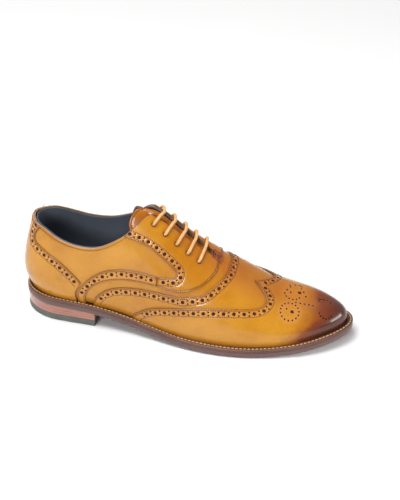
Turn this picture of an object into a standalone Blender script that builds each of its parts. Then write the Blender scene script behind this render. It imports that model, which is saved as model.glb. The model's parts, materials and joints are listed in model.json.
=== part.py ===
"""Right shoe of a pair of brogued leather oxfords, modelled as the pieces a shoemaker assembles.

The frame has +X towards the toe, +Y towards the inner (medial) side and +Z up. The shoe stands on
the plane Z = 0 with the middle of its box on the Z axis.

The upper is a stack of leather layers over one smooth surface, the inside of the lining. A place on
that surface is (side, x, t): side is -1 for the outer half and +1 for the inner half, x runs along
the feather line from heel to toe, and t goes from 0 at the feather line to 1 at the crest.
"""

import math

import bmesh
import bpy
import numpy as np
from mathutils import Vector
from mathutils.geometry import delaunay_2d_cdt

MM = 0.001  # every length below is in millimetres

# ---------------------------------------------------------------- driving dimensions
LENGTH = 308.0  # outsole, heel to toe
OUTSOLE = 5.2
WELT = 3.1
GAP = 0.3  # between pieces that touch
FEATHER = OUTSOLE + 6.0  # height of the lining's lower edge over the outsole's lower face

# Sole plan: half widths on the outer and inner side, and the height of its lower face, by station.
STATIONS = (0, 40, 75, 110, 150, 190, 225, 260, 308)
OUTER_HALF = (29, 33, 35, 39.5, 49, 54, 51, 42, 27)
INNER_HALF = (31, 33, 31, 29, 34.5, 44.5, 46.5, 40.5, 27)
CENTRE_Y = (0, 0, 0, 0, 0, 0, 0, 1, 4)
SOLE_Z = (15.2, 15.2, 13, 8, 2.4, 0.5, 0.25, 2.6, 9.5)
HEEL_ROUND = 36.0
TOE_ROUND = 50.0
END_POWER = 2.15

# Last: how far the feather line lies inside the sole's edge, and the crest's height, by station.
INSET_STATIONS = (0, 60, 120, 180, 260, 308)
OUTER_INSET = (7.2, 7.4, 9.0, 10.8, 11.0, 11)
INNER_INSET = (7.2, 7.2, 8.6, 10.2, 10.8, 11)
HEEL_INSET = 7.2
TOE_INSET = 11.0
TOE_RISE = 1.3  # extra room under the toe, where the outsole curls up past the layers' corner
CREST_HEEL_X = 30.0
CREST_TOE_X = 268.0
CREST_X = (30, 60, 90, 122, 150, 177, 194, 223, 241, 259, 268)
CREST_Y = (0, 0, 0, 0, -1, -2.5, -3.5, -4, -3, -1, 0.5)
CREST_Z = (134, 132, 127, 115, 94, 74.5, 64, 46.5, 40.5, 37, 35)
CREST_TILT = (0, 0, 0, 1, 3, 4.5, 4.5, 2.5, 4.5, 3, 0)  # the ridge is on the inner side of the lacing
BULGE_X = (0, 60, 110, 180, 260, 308)
BULGE = (6.2, 4.2, 2.2, 1.2, 0.8, 0.6)
BULGE_T = 0.13
SECTION_X = (0, 60, 120, 180, 240, 308)
SECTION_POWER = (2.0, 2.0, 1.95, 1.88, 1.95, 2.0)
TUCK = 9.0  # the leather's lasting margin, turned in under the insole
TUCK_T = 0.1

# Layers of the upper: thickness of each leather, and depth outwards from the lining's inner face.
SKIN = 1.1
LINING_SKIN = 0.9
INNER = 1.2  # depth of the quarters and the interlining
OUTER = 2.6  # depth of the overlays, the vamp and the toe puff
CAP = 4.3
HEEL_TUCK = 1.4  # the lining stands in at the heel, to make room for the stiffener
STIFFENER = (-0.15, 0.7)  # its depth and thickness
TACK_THICKNESS = 0.8


def spline(knots, values, x):
    """The natural cubic through the knots."""
    knots = np.asarray(knots, float)
    values = np.asarray(values, float)
    step = np.diff(knots)
    count = len(knots)
    matrix = np.zeros((count, count))
    right = np.zeros(count)
    matrix[0, 0] = matrix[-1, -1] = 1
    for i in range(1, count - 1):
        matrix[i, i - 1 : i + 2] = step[i - 1], 2 * (step[i - 1] + step[i]), step[i]
        right[i] = 6 * ((values[i + 1] - values[i]) / step[i] - (values[i] - values[i - 1]) / step[i - 1])
    bend = np.linalg.solve(matrix, right)
    x = np.asarray(x, float)
    i = np.clip(np.searchsorted(knots, x) - 1, 0, count - 2)
    h = step[i]
    a = (knots[i + 1] - x) / h
    b = (x - knots[i]) / h
    return a * values[i] + b * values[i + 1] + ((a**3 - a) * bend[i] + (b**3 - b) * bend[i + 1]) * h * h / 6


def round_ends(x, start, end):
    """1 along the middle, falling to 0 at the two ends as a superellipse does."""
    heel = np.clip((start + HEEL_ROUND - x) / HEEL_ROUND, 0, 1)
    toe = np.clip((x - end + TOE_ROUND) / TOE_ROUND, 0, 1)
    return ((1 - heel**END_POWER) * (1 - toe**END_POWER)) ** (1 / END_POWER)


def sole_z(x):
    return spline(STATIONS, SOLE_Z, x)


def feather_z(x):
    """Height of the lining's lower edge."""
    return sole_z(x) + FEATHER + TOE_RISE * np.clip(x / 37 - 7, 0, 1) ** 2


def outline_y(x, side, inset=0.0, start=0.0, end=LENGTH):
    """The sole's edge on one side, drawn in by inset and ending at start and end."""
    half = np.where(np.asarray(side) < 0, spline(STATIONS, OUTER_HALF, x), spline(STATIONS, INNER_HALF, x))
    return spline(STATIONS, CENTRE_Y, x) + side * (half - inset) * round_ends(x, start, end)


def last_point(side, x, t):
    """A point of the lining's inner face."""
    side = np.asarray(side, float)
    span = LENGTH - HEEL_INSET - TOE_INSET
    base_x = HEEL_INSET + span * x / LENGTH
    inset = np.where(
        side < 0, spline(INSET_STATIONS, OUTER_INSET, base_x), spline(INSET_STATIONS, INNER_INSET, base_x)
    )
    base_y = outline_y(base_x, side, inset, HEEL_INSET, LENGTH - TOE_INSET)
    base_z = feather_z(base_x)
    crest_x = CREST_HEEL_X + (CREST_TOE_X - CREST_HEEL_X) * x / LENGTH
    crest_y = spline(CREST_X, CREST_Y, crest_x)
    tilt = 4 * side * spline(CREST_X, CREST_TILT, crest_x)
    crest_z = spline(CREST_X, CREST_Z, crest_x)
    fall = spline(CREST_X, CREST_Z, crest_x + 0.5) - spline(CREST_X, CREST_Z, crest_x - 0.5)
    power = 2 / spline(SECTION_X, SECTION_POWER, x)
    tuck = np.clip(-np.asarray(t, float), 0, None) / TUCK_T * TUCK
    t = np.clip(t, 0, 1)
    angle = t * math.pi / 2
    across = np.cos(angle) ** power
    up = np.sin(angle) ** power
    away_x = base_x - crest_x
    away_y = base_y - crest_y
    reach = np.hypot(away_x, away_y)
    bump = spline(BULGE_X, BULGE, x) * t / BULGE_T * np.exp(1 - t / BULGE_T)
    out = across + (bump - tuck) / reach
    z = base_z + (crest_z - base_z) * up + tilt * t * t * (1 - t)
    z = z + fall * away_x * across * (1 - across) ** 2  # the ridge runs on downhill into the surface
    along = crest_x + away_x * out
    z = np.where(tuck > 0, feather_z(along), z)
    return np.stack([along, crest_y + away_y * out, z], -1)


# ---------------------------------------------------------------- mesh
COLUMNS = 28
ROWS = 7
TURN = 1.5  # the most that the pile stands out where the leather turns in under the foot
RIDGE_TURN = 1.05  # the same higher up, where the last bends little


def column_x(column):
    return LENGTH * (1 - np.cos(np.pi * np.asarray(column, float) / COLUMNS)) / 2


def grid_place(x, t):
    """Column and row of a place, as fractions."""
    column = COLUMNS * np.arccos(np.clip(1 - 2 * np.asarray(x, float) / LENGTH, -1, 1)) / np.pi
    t = np.asarray(t, float)
    return column, np.where(t < 0, t / TUCK_T, t * ROWS)


def row_t(row):
    return np.where(row < 0, row * TUCK_T, row / ROWS)


def corner_key(side, column, row):
    """The two halves share the corners of the heel's back, the toe's front and the crest."""
    shared = column in (0, COLUMNS) or row == ROWS
    return (0 if shared else side), column, row


def make_corners():
    """Points of the faceted last, and the direction in which layers pile up at each."""
    point = {}
    facets = {}
    for side in (-1, 1):
        for column in range(COLUMNS + 1):
            for row in range(-1, ROWS + 1):
                key = corner_key(side, column, row)
                point[key] = last_point(side, float(column_x(column)), float(row_t(np.float64(row))))
                facets[key] = []
    for side in (-1, 1):
        for column in range(COLUMNS):
            for row in range(-1, ROWS):
                square = ((column, row), (column + 1, row), (column + 1, row + 1), (column, row + 1))
                for trio in ((0, 1, 2), (0, 2, 3)):
                    keys = [corner_key(side, *square[k]) for k in trio]
                    a, b, c = (point[key] for key in keys)
                    normal = np.cross(b - a, c - a) * -side
                    size = np.linalg.norm(normal)
                    if size > 1e-6:
                        for key in keys:
                            facets[key].append(normal / size)
    pile = {}
    for key, normals in facets.items():
        mean = np.sum(normals, axis=0) + np.array([0.0, 0.0, 1e-9])  # they cancel at the heel's crest
        mean /= np.linalg.norm(mean)
        stand = 1 / min(float(mean @ normal) for normal in normals)
        most = TURN if key[2] <= 0 else RIDGE_TURN
        pile[key] = mean * (min(stand, most) if stand > 1.0 else 1.0)
    return point, pile


CORNER, PILE = make_corners()


def place(side, column, row, depth):
    """A point at a depth over the faceted last; depth is a number or a function of x."""
    column = min(max(column, 0.0), float(COLUMNS))
    row = min(max(row, -1.0), float(ROWS))
    i = min(int(column), COLUMNS - 1)
    j = min(int(math.floor(row)), ROWS - 1)
    a = column - i
    b = row - j
    if a >= b:
        parts = ((i, j, 1 - a), (i + 1, j, a - b), (i + 1, j + 1, b))
    else:
        parts = ((i, j, 1 - b), (i + 1, j + 1, a), (i, j + 1, b - a))
    total = np.zeros(3)
    for c, r, weight in parts:
        key = corner_key(side, c, r)
        over = depth(float(column_x(c))) if callable(depth) else depth
        total += weight * (CORNER[key] + over * PILE[key])
    return total


def smooth(points, spans=2):
    """A Catmull-Rom curve through the points, each a tuple of numbers."""
    p = np.asarray(points, float)
    p = np.vstack([2 * p[0] - p[1], p, 2 * p[-1] - p[-2]])
    found = []
    for i in range(1, len(p) - 2):
        for s in np.arange(spans) / spans:
            a = 2 * p[i]
            b = (p[i + 1] - p[i - 1]) * s
            c = (2 * p[i - 1] - 5 * p[i] + 4 * p[i + 1] - p[i + 2]) * s * s
            d = (3 * p[i] - p[i - 1] - 3 * p[i + 1] + p[i + 2]) * s**3
            found.append((a + b + c + d) / 2)
    found.append(p[-2])
    return found


class Chart:
    """A flat map of the last. Over the crest it joins the halves at the crest, else round the heel."""

    def __init__(self, over_crest):
        self.over_crest = over_crest

    def flat(self, side, column, row):
        if self.over_crest:
            return column, side * (ROWS - row)
        return side * column, row

    def back(self, a, b):
        if self.over_crest:
            return (-1 if b < 0 else 1), a, ROWS - abs(b)
        return (-1 if a < 0 else 1), abs(a), b

    def line(self, side, points, spans=2):
        """A smooth line on the map through (x, t) points."""
        columns, rows = grid_place(*zip(*points))
        return [self.flat(side, *p) for p in smooth(list(zip(columns, rows)), spans)]

    def ring(self, side, x, t, radius, sides=8):
        """A round hole on the map."""
        column, row = (float(v) for v in grid_place(x, t))
        step = 0.15
        along = (place(side, column + step, row, 0.0) - place(side, column - step, row, 0.0)) / (2 * step)
        up = (place(side, column, row + step, 0.0) - place(side, column, row - step, 0.0)) / (2 * step)
        first = along / np.linalg.norm(along)
        second = up - first * (up @ first)
        second /= np.linalg.norm(second)
        to_map = np.linalg.pinv(np.stack([along, up], axis=1))
        found = []
        for k in range(sides):
            angle = 2 * math.pi * k / sides
            move = to_map @ (radius * (math.cos(angle) * first + math.sin(angle) * second))
            found.append(self.flat(side, column + move[0], row + move[1]))
        return found


CREST = Chart(True)
HEEL = Chart(False)


def inside(loop, a, b):
    """Whether a point of the map is inside a closed loop."""
    found = False
    for (a0, b0), (a1, b1) in zip(loop, loop[1:] + loop[:1]):
        if (b0 > b) != (b1 > b) and a < a0 + (b - b0) / (b1 - b0) * (a1 - a0):
            found = not found
    return found


def grid_edges(chart, loop):
    """The last's facet edges round a loop of the map, so that a piece bends only along them."""
    lows = np.floor(np.min(loop, axis=0)).astype(int)
    highs = np.ceil(np.max(loop, axis=0)).astype(int)
    points = {}
    edges = []
    for a in range(lows[0], highs[0] + 1):
        for b in range(lows[1], highs[1] + 1):
            points[a, b] = len(points)
    for a, b in points:
        side = chart.back(a + 0.5, b + 0.5)[0]
        falls = side > 0 if chart.over_crest else side < 0
        diagonal = ((a, b + 1), (a + 1, b)) if falls else ((a, b), (a + 1, b + 1))
        for start, end in (((a, b), (a + 1, b)), ((a, b), (a, b + 1)), diagonal):
            if start in points and end in points:
                edges.append((points[start], points[end]))
    return list(points), edges


def sheet(chart, loop, holes, depth):
    """Points and faces of a pattern piece laid on the last at a depth."""
    flat, edges = grid_edges(chart, loop)
    for ring in (loop, *holes):
        first = len(flat)
        flat = flat + list(ring)
        edges += [(first + k, first + (k + 1) % len(ring)) for k in range(len(ring))]
    found = delaunay_2d_cdt([Vector((float(a), float(b))) for a, b in flat], edges, [], 0, 1e-4)
    spots = [tuple(v) for v in found[0]]
    faces = []
    for face in found[2]:
        middle = np.mean([spots[v] for v in face], axis=0)
        if inside(loop, *middle) and not any(inside(ring, *middle) for ring in holes):
            faces.append(face if chart.over_crest else face[::-1])
    used = sorted({v for face in faces for v in face})
    place_of = {v: k for k, v in enumerate(used)}
    points = [place(*chart.back(*spots[v]), depth) for v in used]
    return points, [[place_of[v] for v in face] for face in faces]


# ---------------------------------------------------------------- objects
for old in list(bpy.data.objects):
    bpy.data.objects.remove(old, do_unlink=True)
PARTS = bpy.data.collections.new("oxford_shoe")
CUTTERS = bpy.data.collections.new("cutters")
for collection in (PARTS, CUTTERS):
    bpy.context.scene.collection.children.link(collection)


def finish(name, colour, roughness, metallic=0.0):
    """A Principled material; the colour is linear RGB."""
    material = bpy.data.materials.new(name)
    material.use_nodes = True
    shader = material.node_tree.nodes["Principled BSDF"]
    shader.inputs["Base Color"].default_value = (*colour, 1)
    shader.inputs["Roughness"].default_value = roughness
    shader.inputs["Metallic"].default_value = metallic
    material.diffuse_color = (*colour, 1)
    return material


TAN = (0.62, 0.27, 0.035)
NAVY = (0.02, 0.035, 0.07)
BROWN = (0.09, 0.035, 0.02)
FIBRE = (0.5, 0.42, 0.3)
THREAD_RED = (0.25, 0.06, 0.03)
STACK_RED = (0.25, 0.07, 0.035)
RUBBER = (0.03, 0.03, 0.032)
CORK = (0.25, 0.13, 0.06)
STEEL = (0.4, 0.4, 0.42)
RAW_LEATHER = (0.45, 0.27, 0.12)
BRASS = (0.55, 0.4, 0.15)
BLACK_LACQUER = (0.05, 0.05, 0.055)
COTTON = (0.7, 0.42, 0.16)
AGLET_BROWN = (0.5, 0.25, 0.07)
SHARP = math.radians(35)


def link(name, mesh, colour, roughness=0.4, metallic=0.0, collection=PARTS):
    if isinstance(mesh, bpy.types.Mesh):
        mesh.shade_smooth()
        mesh.set_sharp_from_angle(angle=SHARP)
    thing = bpy.data.objects.new(name, mesh)
    mesh.materials.append(finish(name, colour, roughness, metallic))
    collection.objects.link(thing)
    return thing


def world(point):
    """Metres in the shoe's frame, from millimetres measured from the heel's back."""
    return Vector((np.asarray(point, float) - MIDDLE) * MM)


def mesh_of(name, points, faces):
    mesh = bpy.data.meshes.new(name)
    mesh.from_pydata([world(p) for p in points], [], faces)
    bm = bmesh.new()
    bm.from_mesh(mesh)
    bmesh.ops.remove_doubles(bm, verts=bm.verts, dist=2e-6)
    bm.to_mesh(mesh)
    bm.free()
    return mesh


EDGE_X = column_x(np.linspace(0, COLUMNS, 200))
BACKMOST = min(place(1, 0, row, OUTER + SKIN)[0] for row in range(ROWS))
MIDDLE = np.array(
    [
        (LENGTH + BACKMOST) / 2,
        (outline_y(EDGE_X, -1).min() + outline_y(EDGE_X, 1).max()) / 2,
        0.0,
    ]
)


def leather(name, chart, loop, depth, thickness, colour, roughness=0.3, holes=()):
    """A piece of leather cut to an outline on the last, with a thickness outwards from its depth."""
    thing = link(name, mesh_of(name, *sheet(chart, loop, holes, depth)), colour, roughness)
    shell = thing.modifiers.new("Thickness", "SOLIDIFY")
    shell.thickness = thickness * MM
    shell.offset = 1.0
    return thing


# ---------------------------------------------------------------- upper
LOWEST = -TUCK_T


def heel_room(x):
    """How far the lining stands in."""
    return -HEEL_TUCK * float(np.clip((95 - x) / 30, 0, 1))


# Pattern lines, as (x, t) points on either side.
TOPLINE = {
    -1: ((0, 0.45), (7, 0.425), (16, 0.414), (33, 0.376), (49, 0.358), (65, 0.368), (79, 0.418), (95, 0.528),
         (107, 0.68)),
    1: ((0, 0.45), (7, 0.435), (16, 0.425), (33, 0.392), (49, 0.384), (65, 0.405), (79, 0.452), (95, 0.548),
        (107, 0.68)),
}
FACING_TOP = (117, 0.855)
FACING_FOOT = (186, 0.955)
TOPLINE_FRONT = ((107, 0.68), (113, 0.78), FACING_TOP)
VAMP_EDGE = (
    (66, LOWEST), (68, 0.01), (77.5, 0.094), (89, 0.146), (103.5, 0.183), (131.5, 0.245), (155, 0.303),
    (166, 0.347), (179.5, 0.427), (190.5, 0.56), (200, 0.72), (207, 0.88), (210, 1.0),
)
QUARTER_FRONT = (
    (214, 0.992), (213, 0.85), (207, 0.65), (195, 0.45), (178, 0.31), (155, 0.21), (120, 0.12), (90, 0.05),
    (80, LOWEST),
)
CAP_EDGE = (
    (106, LOWEST), (109.5, 0.0), (116.5, 0.055), (127, 0.113), (144.5, 0.178), (189, 0.335), (212, 0.414),
    (230, 0.482), (240, 0.55), (246, 0.65), (248, 0.75), (246, 0.86), (243.5, 0.93), (239, 1.0),
)
VAMP_FRONT = (
    (126, LOWEST), (130, 0.0), (150, 0.11), (200, 0.27), (235, 0.39), (253, 0.52), (260, 0.7), (260, 1.0),
)
STRAP_TOP = (
    (52, LOWEST), (52.5, 0.035), (57.5, 0.106), (67, 0.176), (78.5, 0.236), (93, 0.279), (107, 0.308),
    (133, 0.36),
)
STRAP_FOOT = (
    (133, 0.29), (118, 0.259), (93.5, 0.21), (79, 0.167), (70, 0.125), (64, 0.078), (60, 0.004), (59, LOWEST),
)
LOBE = (
    (95.5, 0.523), (109, 0.535), (122, 0.54), (140, 0.523), (150, 0.505), (152, 0.486), (150, 0.435),
    (134, 0.363),
)
FACING_SEAM = (
    (134, 0.293), (149, 0.325), (163, 0.38), (176.5, 0.49), (188, 0.65), (196, 0.82), (200, 0.993),
)
COUNTER_TOP = (
    (11, 0.42), (8, 0.375), (7.3, 0.336), (9.9, 0.307), (21, 0.278), (36, 0.233), (50, 0.172), (57.5, 0.13),
)
COUNTER_FRONT = ((56, 0.106), (51.3, 0.035), (50.5, LOWEST))
LINING_SEAM = ((156, 0.905), (155, 0.7), (152, 0.4), (149, 0.1), (148.5, LOWEST))
TONGUE_SIDE = (
    (203, 1.0), (202, 0.82), (182, 0.66), (150, 0.57), (120, 0.54), (102, 0.55), (94.5, 0.62), (95.5, 0.76),
    (98.5, 0.88), (102.5, 0.96), (103.5, 1.0),
)
EYELETS = ((122.5, 0.765), (135.5, 0.752), (148.5, 0.748), (161, 0.745), (173.5, 0.745))
LACE_HOLE = 2.1
EYELET_HOLE = 2.7
BACK_SEAM = 0.003  # x of the quarters' back edges, which meet at the heel's back
TACK = ((199, 1.0), (199, 0.94), (187, 0.92), (187, 1.0))
PUFF_EDGE = ((262, 1.0), (262, 0.7), (258, 0.55), (250, 0.4), (247, 0.1), (247, LOWEST))
STIFFENER_EDGE = ((0, 0.41), (15, 0.385), (35, 0.34), (50, 0.26), (58, 0.12), (58, LOWEST))


def edge(chart, side, *stretches):
    """One open run of the outline, from its stretches, each smooth or straight."""
    run = []
    for stretch in stretches:
        run += chart.line(side, stretch) if len(stretch) > 2 else chart.line(side, stretch, 1)
    return run


def without_repeats(loop):
    """A closed loop without points that lie on each other."""
    kept = [loop[0]]
    for point in loop[1:]:
        if math.dist(point, kept[-1]) > 1e-3:
            kept.append(point)
    return kept[:-1] if math.dist(kept[0], kept[-1]) < 1e-3 else kept


def mirrored(chart, half):
    """The loop of a piece that crosses the crest or the heel's back, from its outer half's line."""
    other = [(a, -b) if chart.over_crest else (-a, b) for a, b in reversed(half)]
    return without_repeats(half + other)


def shift(points, dx):
    return tuple((x + dx, t) for x, t in points)


def make_upper():
    """Both halves' pieces, then the pieces that cross the middle."""
    for side, half in ((-1, "outer"), (1, "inner")):
        laces = [HEEL.ring(side, x, t, LACE_HOLE) for x, t in EYELETS]
        eyelets = [HEEL.ring(side, x, t, EYELET_HOLE) for x, t in EYELETS]
        facing_edge = (FACING_TOP, FACING_FOOT)
        topline = [(BACK_SEAM, TOPLINE[side][0][1]), *TOPLINE[side][1:]]
        quarter = edge(
            HEEL, side, topline, TOPLINE_FRONT, facing_edge, (FACING_FOOT, (196, 0.985), (214, 0.992)),
            QUARTER_FRONT, ((80, LOWEST), (BACK_SEAM, LOWEST)),
        )
        leather("quarter_" + half, HEEL, without_repeats(quarter), INNER, SKIN, TAN, holes=eyelets)
        facing = edge(
            HEEL, side, LOBE, FACING_SEAM, ((200, 0.993), (196, 0.985), FACING_FOOT), facing_edge[::-1],
            (FACING_TOP, (113, 0.78), (107, 0.68)), ((107, 0.68), (102, 0.605), (95.5, 0.523)),
        )
        leather("facing_" + half, HEEL, without_repeats(facing), OUTER, SKIN, TAN, holes=laces)
        strap = edge(HEEL, side, STRAP_TOP, STRAP_FOOT)
        leather("strap_" + half, HEEL, without_repeats(strap), OUTER, SKIN, TAN)

    outer, inner = (
        edge(
            HEEL, side, TOPLINE[side], TOPLINE_FRONT, (FACING_TOP, LINING_SEAM[0]), LINING_SEAM,
            (LINING_SEAM[-1], (0, LOWEST)),
        )
        for side in (-1, 1)
    )
    lining = without_repeats([*outer, *reversed(inner)])
    behind = [HEEL.ring(side, x, t, EYELET_HOLE) for side in (-1, 1) for x, t in EYELETS[:3]]
    leather("quarter_lining", HEEL, lining, heel_room, LINING_SKIN, NAVY, 0.7, behind)

    depth, thickness = STIFFENER
    stiffener = edge(HEEL, -1, STIFFENER_EDGE, (STIFFENER_EDGE[-1], (0, LOWEST)))
    leather("heel_stiffener", HEEL, mirrored(HEEL, stiffener), depth, thickness, FIBRE, 0.8)

    counter = edge(
        HEEL, -1, ((0, 0.45), COUNTER_TOP[0]), COUNTER_TOP, (COUNTER_TOP[-1], COUNTER_FRONT[0]),
        COUNTER_FRONT, (COUNTER_FRONT[-1], (0, LOWEST)),
    )
    leather("heel_counter", HEEL, mirrored(HEEL, counter), OUTER, SKIN, TAN)

    front = ((308, LOWEST), (308, 1.0))
    ahead = [CREST.ring(side, x, t, EYELET_HOLE) for side in (-1, 1) for x, t in EYELETS[3:]]
    seam = shift(LINING_SEAM, 1.0)
    vamp_lining = edge(
        CREST, -1, ((196, 1.0), FACING_FOOT), (FACING_FOOT, seam[0]), seam, (seam[-1], front[0]), front,
    )
    leather("vamp_lining", CREST, mirrored(CREST, vamp_lining), 0.0, LINING_SKIN, NAVY, 0.7, ahead)

    hidden = shift(QUARTER_FRONT, 2.0)
    interlining = edge(CREST, -1, ((216, 1.0), hidden[0]), hidden, (hidden[-1], front[0]), front)
    leather("vamp_interlining", CREST, mirrored(CREST, interlining), INNER, SKIN, FIBRE, 0.8)

    vamp = edge(CREST, -1, VAMP_EDGE[::-1], (VAMP_EDGE[0], VAMP_FRONT[0]), VAMP_FRONT)
    leather("vamp", CREST, mirrored(CREST, vamp), OUTER, SKIN, TAN)

    puff = edge(CREST, -1, PUFF_EDGE, (PUFF_EDGE[-1], front[0]), front)
    leather("toe_puff", CREST, mirrored(CREST, puff), OUTER, SKIN, FIBRE, 0.8)

    cap = edge(CREST, -1, CAP_EDGE[::-1], (CAP_EDGE[0], front[0]), front)
    leather("wing_cap", CREST, mirrored(CREST, cap), CAP, SKIN, TAN)

    tack = edge(CREST, -1, TACK[:2], TACK[1:3], TACK[2:])
    leather("throat_bar_tack", CREST, mirrored(CREST, tack), CAP, TACK_THICKNESS, THREAD_RED, 0.8)


# ---------------------------------------------------------------- tongue, on its hinge at the throat
TONGUE_DEPTH = -5.6
TONGUE_LINING_DEPTH = -6.8
TONGUE_HINGE = (200.0, 1.0)  # x and t of the seam that it turns on


def make_tongue():
    column, row = (float(v) for v in grid_place(*TONGUE_HINGE))
    hinge = bpy.data.objects.new("tongue_hinge", None)
    hinge.location = world(place(1, column, row, TONGUE_DEPTH))
    PARTS.objects.link(hinge)
    half = edge(CREST, -1, TONGUE_SIDE)
    for name, depth, thickness, colour in (
        ("tongue", TONGUE_DEPTH, SKIN, TAN),
        ("tongue_lining", TONGUE_LINING_DEPTH, LINING_SKIN, NAVY),
    ):
        piece = leather(name, CREST, mirrored(CREST, half), depth, thickness, colour, 0.5)
        piece.data.transform(hinge.matrix_basis.inverted())
        piece.parent = hinge


# ---------------------------------------------------------------- bottom
SOLE_COLUMNS = 30
WELT_STATIONS = (0, 60, 100, 125, 180, 260, 308)
WELT_WIDTH_OUTER = (2.7, 2.9, 2.4, 2.9, 4.7, 4.9, 5.0)
WELT_WIDTH_INNER = (2.7, 2.7, 2.1, 2.6, 4.1, 4.7, 5.0)
HEEL_LENGTH = 72.0
HEEL_STEP = 0.8  # the heel stands in from the outsole's edge
TOP_PIECE = 6.6
LIFT = 2.3
INSOLE = 2.4
SOCK = 1.0
CORK_START = 135.0
SHANK_ENDS = (45.0, 128.0)
SHANK_HALF = 6.0
SHANK_THICKNESS = 1.5
SHANK_RISE = 2.0  # over the outsole
NAIL = 1.0  # radius
NAILS = ((14, 0), (24, -18), (24, 18), (48, -22), (48, 22))


def slab(name, xs, edges, low, high, colour, roughness=0.5, across=2):
    """A solid between two heights. edges(x) gives its two ys, and low(x) and high(x) its heights."""
    points = []
    for x in xs:
        first, last = edges(x)
        points += [(x, y, low(x)) for y in np.linspace(first, last, across)]
    faces = []
    for i in range(len(xs) - 1):
        for j in range(across - 1):
            k = i * across + j
            faces.append((k, k + across, k + across + 1, k + 1))
    mesh = mesh_of(name, points, faces)
    bm = bmesh.new()
    bm.from_mesh(mesh)
    raised = bmesh.ops.extrude_face_region(bm, geom=bm.faces[:])["geom"]
    for part in raised:
        if isinstance(part, bmesh.types.BMVert):
            part.co.z = high(part.co.x / MM + MIDDLE[0]) * MM
    bmesh.ops.recalc_face_normals(bm, faces=bm.faces)
    bm.to_mesh(mesh)
    bm.free()
    return link(name, mesh, colour, roughness)


def rounded_xs(start, end, count=SOLE_COLUMNS, whole=True):
    """Stations that crowd at the rounded ends; not whole leaves the front end straight."""
    stop = np.pi if whole else np.pi / 2
    angles = np.linspace(0, stop, count + 1)
    return [float(v) for v in start + (end - start) * (1 - np.cos(angles)) / (2 if whole else 1)]


def outline_edges(start, end, outer, inner):
    """Both edges of a sole layer drawn in by outer(x) and inner(x)."""

    def edges(x):
        return (
            float(outline_y(x, -1, outer(x), start, end)),
            float(outline_y(x, 1, inner(x), start, end)),
        )

    return edges


def over_sole(rise):
    return lambda x: float(sole_z(x)) + rise


def last_inset(side, more):
    """The lining's lower edge on one side, drawn in by more and clear of the heel's lining."""
    table = OUTER_INSET if side < 0 else INNER_INSET
    return lambda x: float(spline(INSET_STATIONS, table, x)) + more - TURN * heel_room(x)


def make_bottom():
    flush = outline_edges(0, LENGTH, lambda x: 0, lambda x: 0)
    slab("outsole", rounded_xs(0, LENGTH), flush, over_sole(0), over_sole(OUTSOLE), BROWN)
    make_welt()

    start = HEEL_INSET + TURN * HEEL_TUCK + 1
    end = LENGTH - TOE_INSET - 1
    for name, more, low, thick, colour in (
        ("insole", 1.5, 0.5, INSOLE, RAW_LEATHER),
        ("sock_liner", 2.1, 0.8 + INSOLE, SOCK, NAVY),
    ):
        edges = outline_edges(start + more, end - more, last_inset(-1, more), last_inset(1, more))

        def floor(x, low=low):
            return float(feather_z(x)) + low - heel_room(x)

        def ceiling(x, floor=floor, thick=thick):
            return floor(x) + thick

        slab(name, rounded_xs(start + more, end - more, 32), edges, floor, ceiling, colour, 0.7)

    rim = TUCK + 1.5
    cork_end = end - rim
    edges = outline_edges(0, cork_end, last_inset(-1, rim), last_inset(1, rim))
    ahead = np.sin(np.linspace(0, np.pi / 2, 17))
    xs = [float(v) for v in CORK_START + (cork_end - CORK_START) * ahead]
    slab("cork_filler", xs, edges, over_sole(OUTSOLE + 0.4), over_sole(FEATHER), CORK, 0.9)
    slab(
        "shank", list(np.linspace(*SHANK_ENDS, 9)), lambda x: (-SHANK_HALF, SHANK_HALF),
        over_sole(OUTSOLE + SHANK_RISE), over_sole(OUTSOLE + SHANK_RISE + SHANK_THICKNESS), STEEL, 0.35,
    )


def make_welt():
    """The strip that the upper is sewn to, all round the shoe."""
    ring = []
    count = 2 * SOLE_COLUMNS
    for k in range(count):
        angle = 2 * np.pi * k / count
        side = 1.0 if angle > np.pi else -1.0
        x = LENGTH * (1 - math.cos(angle)) / 2
        start = WELT_WIDTH_OUTER[0]
        inner_x = start + (LENGTH - start - WELT_WIDTH_OUTER[-1]) * x / LENGTH
        widths = WELT_WIDTH_OUTER if side < 0 else WELT_WIDTH_INNER
        width = float(spline(WELT_STATIONS, widths, inner_x))
        ring.append((x, float(outline_y(x, side))))
        ring.append((inner_x, float(outline_y(inner_x, side, width, start, LENGTH - WELT_WIDTH_OUTER[-1]))))
    faces = []
    for k in range(count):
        n = (k + 1) % count
        faces.append((2 * k, 2 * n, 2 * n + 1, 2 * k + 1))
    low = OUTSOLE + GAP
    mesh = mesh_of("welt", [(x, y, float(sole_z(x)) + low) for x, y in ring], faces)
    bm = bmesh.new()
    bm.from_mesh(mesh)
    for part in bmesh.ops.extrude_face_region(bm, geom=bm.faces[:])["geom"]:
        if isinstance(part, bmesh.types.BMVert):
            part.co.z += WELT * MM
    bmesh.ops.recalc_face_normals(bm, faces=bm.faces)
    bm.to_mesh(mesh)
    bm.free()
    return link("welt", mesh, BROWN, 0.5)


def make_heel():
    """Top piece and three lifts, with nails up through the lowest two layers."""
    edges = outline_edges(HEEL_STEP, LENGTH, lambda x: HEEL_STEP, lambda x: HEEL_STEP)
    xs = rounded_xs(HEEL_STEP, HEEL_LENGTH, 16, whole=False)
    layers = [slab("top_piece", xs, edges, lambda x: 0.0, lambda x: TOP_PIECE, RUBBER, 0.7)]
    low = TOP_PIECE + GAP
    for number in (1, 2):
        bottom = low
        top = low + LIFT
        name = f"heel_lift_{number}"
        layers.append(
            slab(name, xs, edges, lambda x, z=bottom: z, lambda x, z=top: z, STACK_RED, 0.45)
        )
        low = top + GAP
    slab("heel_lift_3", xs, edges, lambda x: low, over_sole(-GAP), STACK_RED, 0.45)
    return layers


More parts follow.
